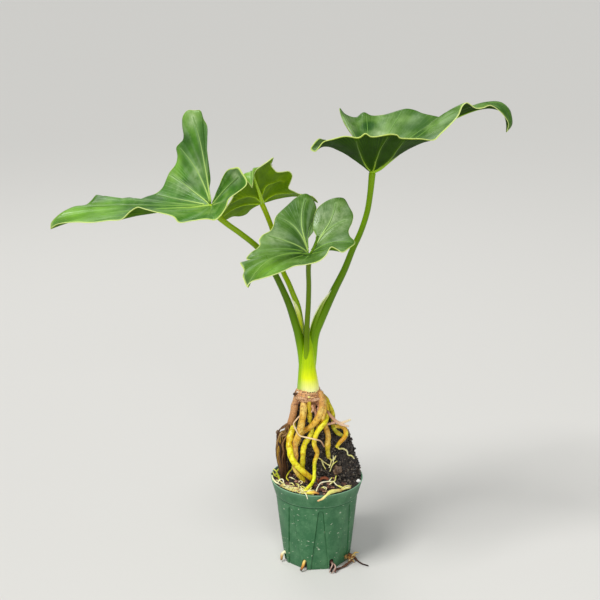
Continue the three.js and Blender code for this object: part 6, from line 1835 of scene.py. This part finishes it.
# %% [markdown]
# ## The mat along the rim
#
# Where the mix meets the front of the rim, rootlets have been torn and lie in a pale tangle. One strand
# follows the rim, one hangs over its lip, a lumpy one lies where the tangle is thickest, and short shreds
# cross them at random angles. Twenty more rootlets, whose routes follow the photograph, lie loose on the
# mix.

# %% Rim mat
SHRED_TINTS = (["#f2eeb0", "#e6e27c"], ["#dcd860", "#ece99a"], ["#f6f2cc", "#e9dfa0"], ["#cfa45c", "#dcc07c"])
random.seed(8)
bm = bmesh.new()
add_strand(bm, RIM_STRAND, [0.5, 0.8, 0.7, 0.4], ["#e0dc86", "#d2c86a", "#e8e49a"], sides=9, step=1,
           knobs=0.3)
add_strand(bm, OVER_LIP, [0.7, 0.6, 0.5, 0.4], ["#ece8a8", "#f6f2d0"], sides=8, step=0.8)
add_strand(bm, *RIM_LUMPS, LUMP_TINTS, sides=10, step=0.8, knobs=0.35, seed=4)
for k in range(SHRED_COUNT):
    middle = read_list([list(p) for p in RIM_STRAND], random.random())
    inward = random.uniform(-0.6, 8.5)
    centre = Vector((middle[0], middle[1] + inward, 97.3 + random.uniform(0, 1.1)))
    turn = random.uniform(0, math.pi)
    half = Vector((math.cos(turn), math.sin(turn) * 0.7, random.uniform(-0.3, 0.3)))
    half *= random.uniform(1.2, 4.4)
    bend = Vector((random.uniform(-0.8, 0.8), random.uniform(-0.5, 0.8), random.uniform(0, 0.7)))
    thick = random.uniform(0.25, 0.62)
    ends = [centre - half, centre + bend, centre + half]
    add_strand(bm, ends, [thick * 0.6, thick, thick * 0.5], random.choice(SHRED_TINTS), sides=6, step=1,
               knobs=0.3, seed=k)
finish_piece(bm, "rootlet_mat", [pale_skin], node=["rootlet_mat"], slot="pale_root")

# %% Loose rootlets
bm = bmesh.new()
for k, points in enumerate(LOOSE_ROOTLETS):
    add_strand(bm, points, [0.4, 0.7, 0.4], SHRED_TINTS[k % 3], sides=7, step=0.8, knobs=0.3, seed=k)
finish_piece(bm, "loose_rootlets", [pale_skin])

# %% [markdown]
# ## Roots at the foot
#
# Some roots found the drain slots. They bend down to the foot of the pot and dry there, from a pale yellow
# through orange-brown to nearly black. Two pinkish threads hang beside the dark one, and a small tangle of
# dry rootlets, placed by seeded random numbers, lies on the right one.

# %% Drain root routes
DRAIN_ROOTS = {
    "drain_root_left": [([
        (-31, -14.5, 9), (-36, -16.8, 11.5), (-38.6, -17.6, 8.5), (-39.3, -18, 3),
    ], [1.5, 1.7, 1.6, 1.3])],
    "drain_root_front": [([
        (-11, -29.5, 9), (-13.6, -36.4, 10.8), (-15.2, -39.6, 7.4), (-17.4, -41, 2.6),
    ], [1.5, 1.6, 1.5, 1.3])],
    "drain_root_dark": [
        ([(13, -28.5, 8), (16.3, -35.6, 9.2), (17.6, -39, 6), (15.5, -42.5, 2.2)], [1.6, 1.8, 1.7, 1.3]),
        ([(17.4, -38.6, 6.4), (20.5, -40.5, 3.6), (20, -43.5, 1.6)], [1.3, 1.1, 0.9]),
    ],
    "drain_root_right": [
        ([
            (29.5, -11.8, 6), (36.3, -14.4, 7), (41, -16.5, 5.5), (45, -20, 3), (50, -25, 1.6),
            (57, -29, 1.2),
        ], [1.6, 1.9, 1.6, 1.1, 0.8, 0.6]),
        ([
            (40, -16, 5.8), (38, -21.5, 3.4), (33, -28, 2), (27, -34, 1.8), (22.5, -37.6, 1.7),
        ], [1.4, 1.3, 1.2]),
        ([(40, -16, 6), (43, -14, 9), (46.5, -14.5, 9.5)], [1.2, 1, 0.7]),
        ([(41, -16.5, 6), (43.5, -19, 8.5), (42, -21, 10)], [1.1, 0.9, 0.6]),
    ],
}

# %% Colours, threads and the tangle
DRAIN_TINTS = {
    "drain_root_left": [["#b9b080", "#efe9c4", "#f2eac0", "#d9a860", "#8a5c34"]],
    "drain_root_front": [["#f4eeb4", "#f4eeb4", "#f0dc8a", "#e6b458", "#c07a2c", "#2a170c"]],
    "drain_root_dark": [["#8a5c4c", "#5a3428", "#2c1a16", "#1c1210"], ["#a4746a", "#7a4c42"]],
    "drain_root_right": [
        ["#8f6844", "#7c5234", "#5c3a26", "#452a1c", "#38221a", "#2c1a14"],
        ["#7a5236", "#6a4430", "#4a2e22"], ["#cfa85c", "#dcc078"], ["#c99c58", "#e0c688"],
    ],
}
DARK_THREADS = [
    [(16, -34, 9), (17, -41.5, 9.5), (15.2, -43.5, 6), (13.6, -44.5, 1.6)],
    [(17, -36, 9), (20.3, -41.8, 7.5), (19, -43.6, 4), (16, -45.5, 1)],
]
THREAD_TINTS = ["#a4746a", "#d0b0a0", "#b08c7c"]
CLUMP_CENTRE = Vector((36, -19.5, 5.5))
CLUMP_COUNT = 26
CLUMP_LOWEST = 0.8
CLUMP_TINTS = (["#e8d08a", "#d8b464"], ["#c8904c", "#a86c34"], ["#f0e4b4", "#dcc078"], ["#b08048", "#7a5230"])
PALE_DRAINS = ("drain_root_left", "drain_root_front")
print("strands in the tangle at the foot:", CLUMP_COUNT)

# %% Drain roots
for name, parts in DRAIN_ROOTS.items():
    bm = bmesh.new()
    for k, part in enumerate(parts):
        add_strand(bm, *part, DRAIN_TINTS[name][k], sides=12, step=0.7, knobs=0.3, seed=k)
    if name == "drain_root_dark":
        for k, points in enumerate(DARK_THREADS):
            add_strand(bm, points, [0.6, 0.75, 0.6, 0.4], THREAD_TINTS, sides=7, step=0.8, seed=k)
    if name == "drain_root_right":
        random.seed(21)
        for k in range(CLUMP_COUNT):
            middle = CLUMP_CENTRE + Vector([random.uniform(-s, s) for s in (4.5, 2.0, 3.2)])
            turn = random.uniform(0, 2 * math.pi)
            half = Vector((math.cos(turn), 0.5 * math.sin(3 * turn), math.sin(turn)))
            half *= random.uniform(1.2, 3.4)
            bend = Vector([random.uniform(-1, 1) for _ in range(3)])
            ends = [middle - half, middle + bend, middle + half]
            for end in ends:
                end.z = max(CLUMP_LOWEST, end.z)
            add_strand(bm, ends, [0.45, 0.6, 0.35], random.choice(CLUMP_TINTS), sides=6, step=0.9,
                       knobs=0.3, seed=k)
    slot, skin = ("pale_root", pale_skin) if name in PALE_DRAINS else ("brown_root", dry_skin)
    finish_piece(bm, name, [skin], node=[name], slot=slot)
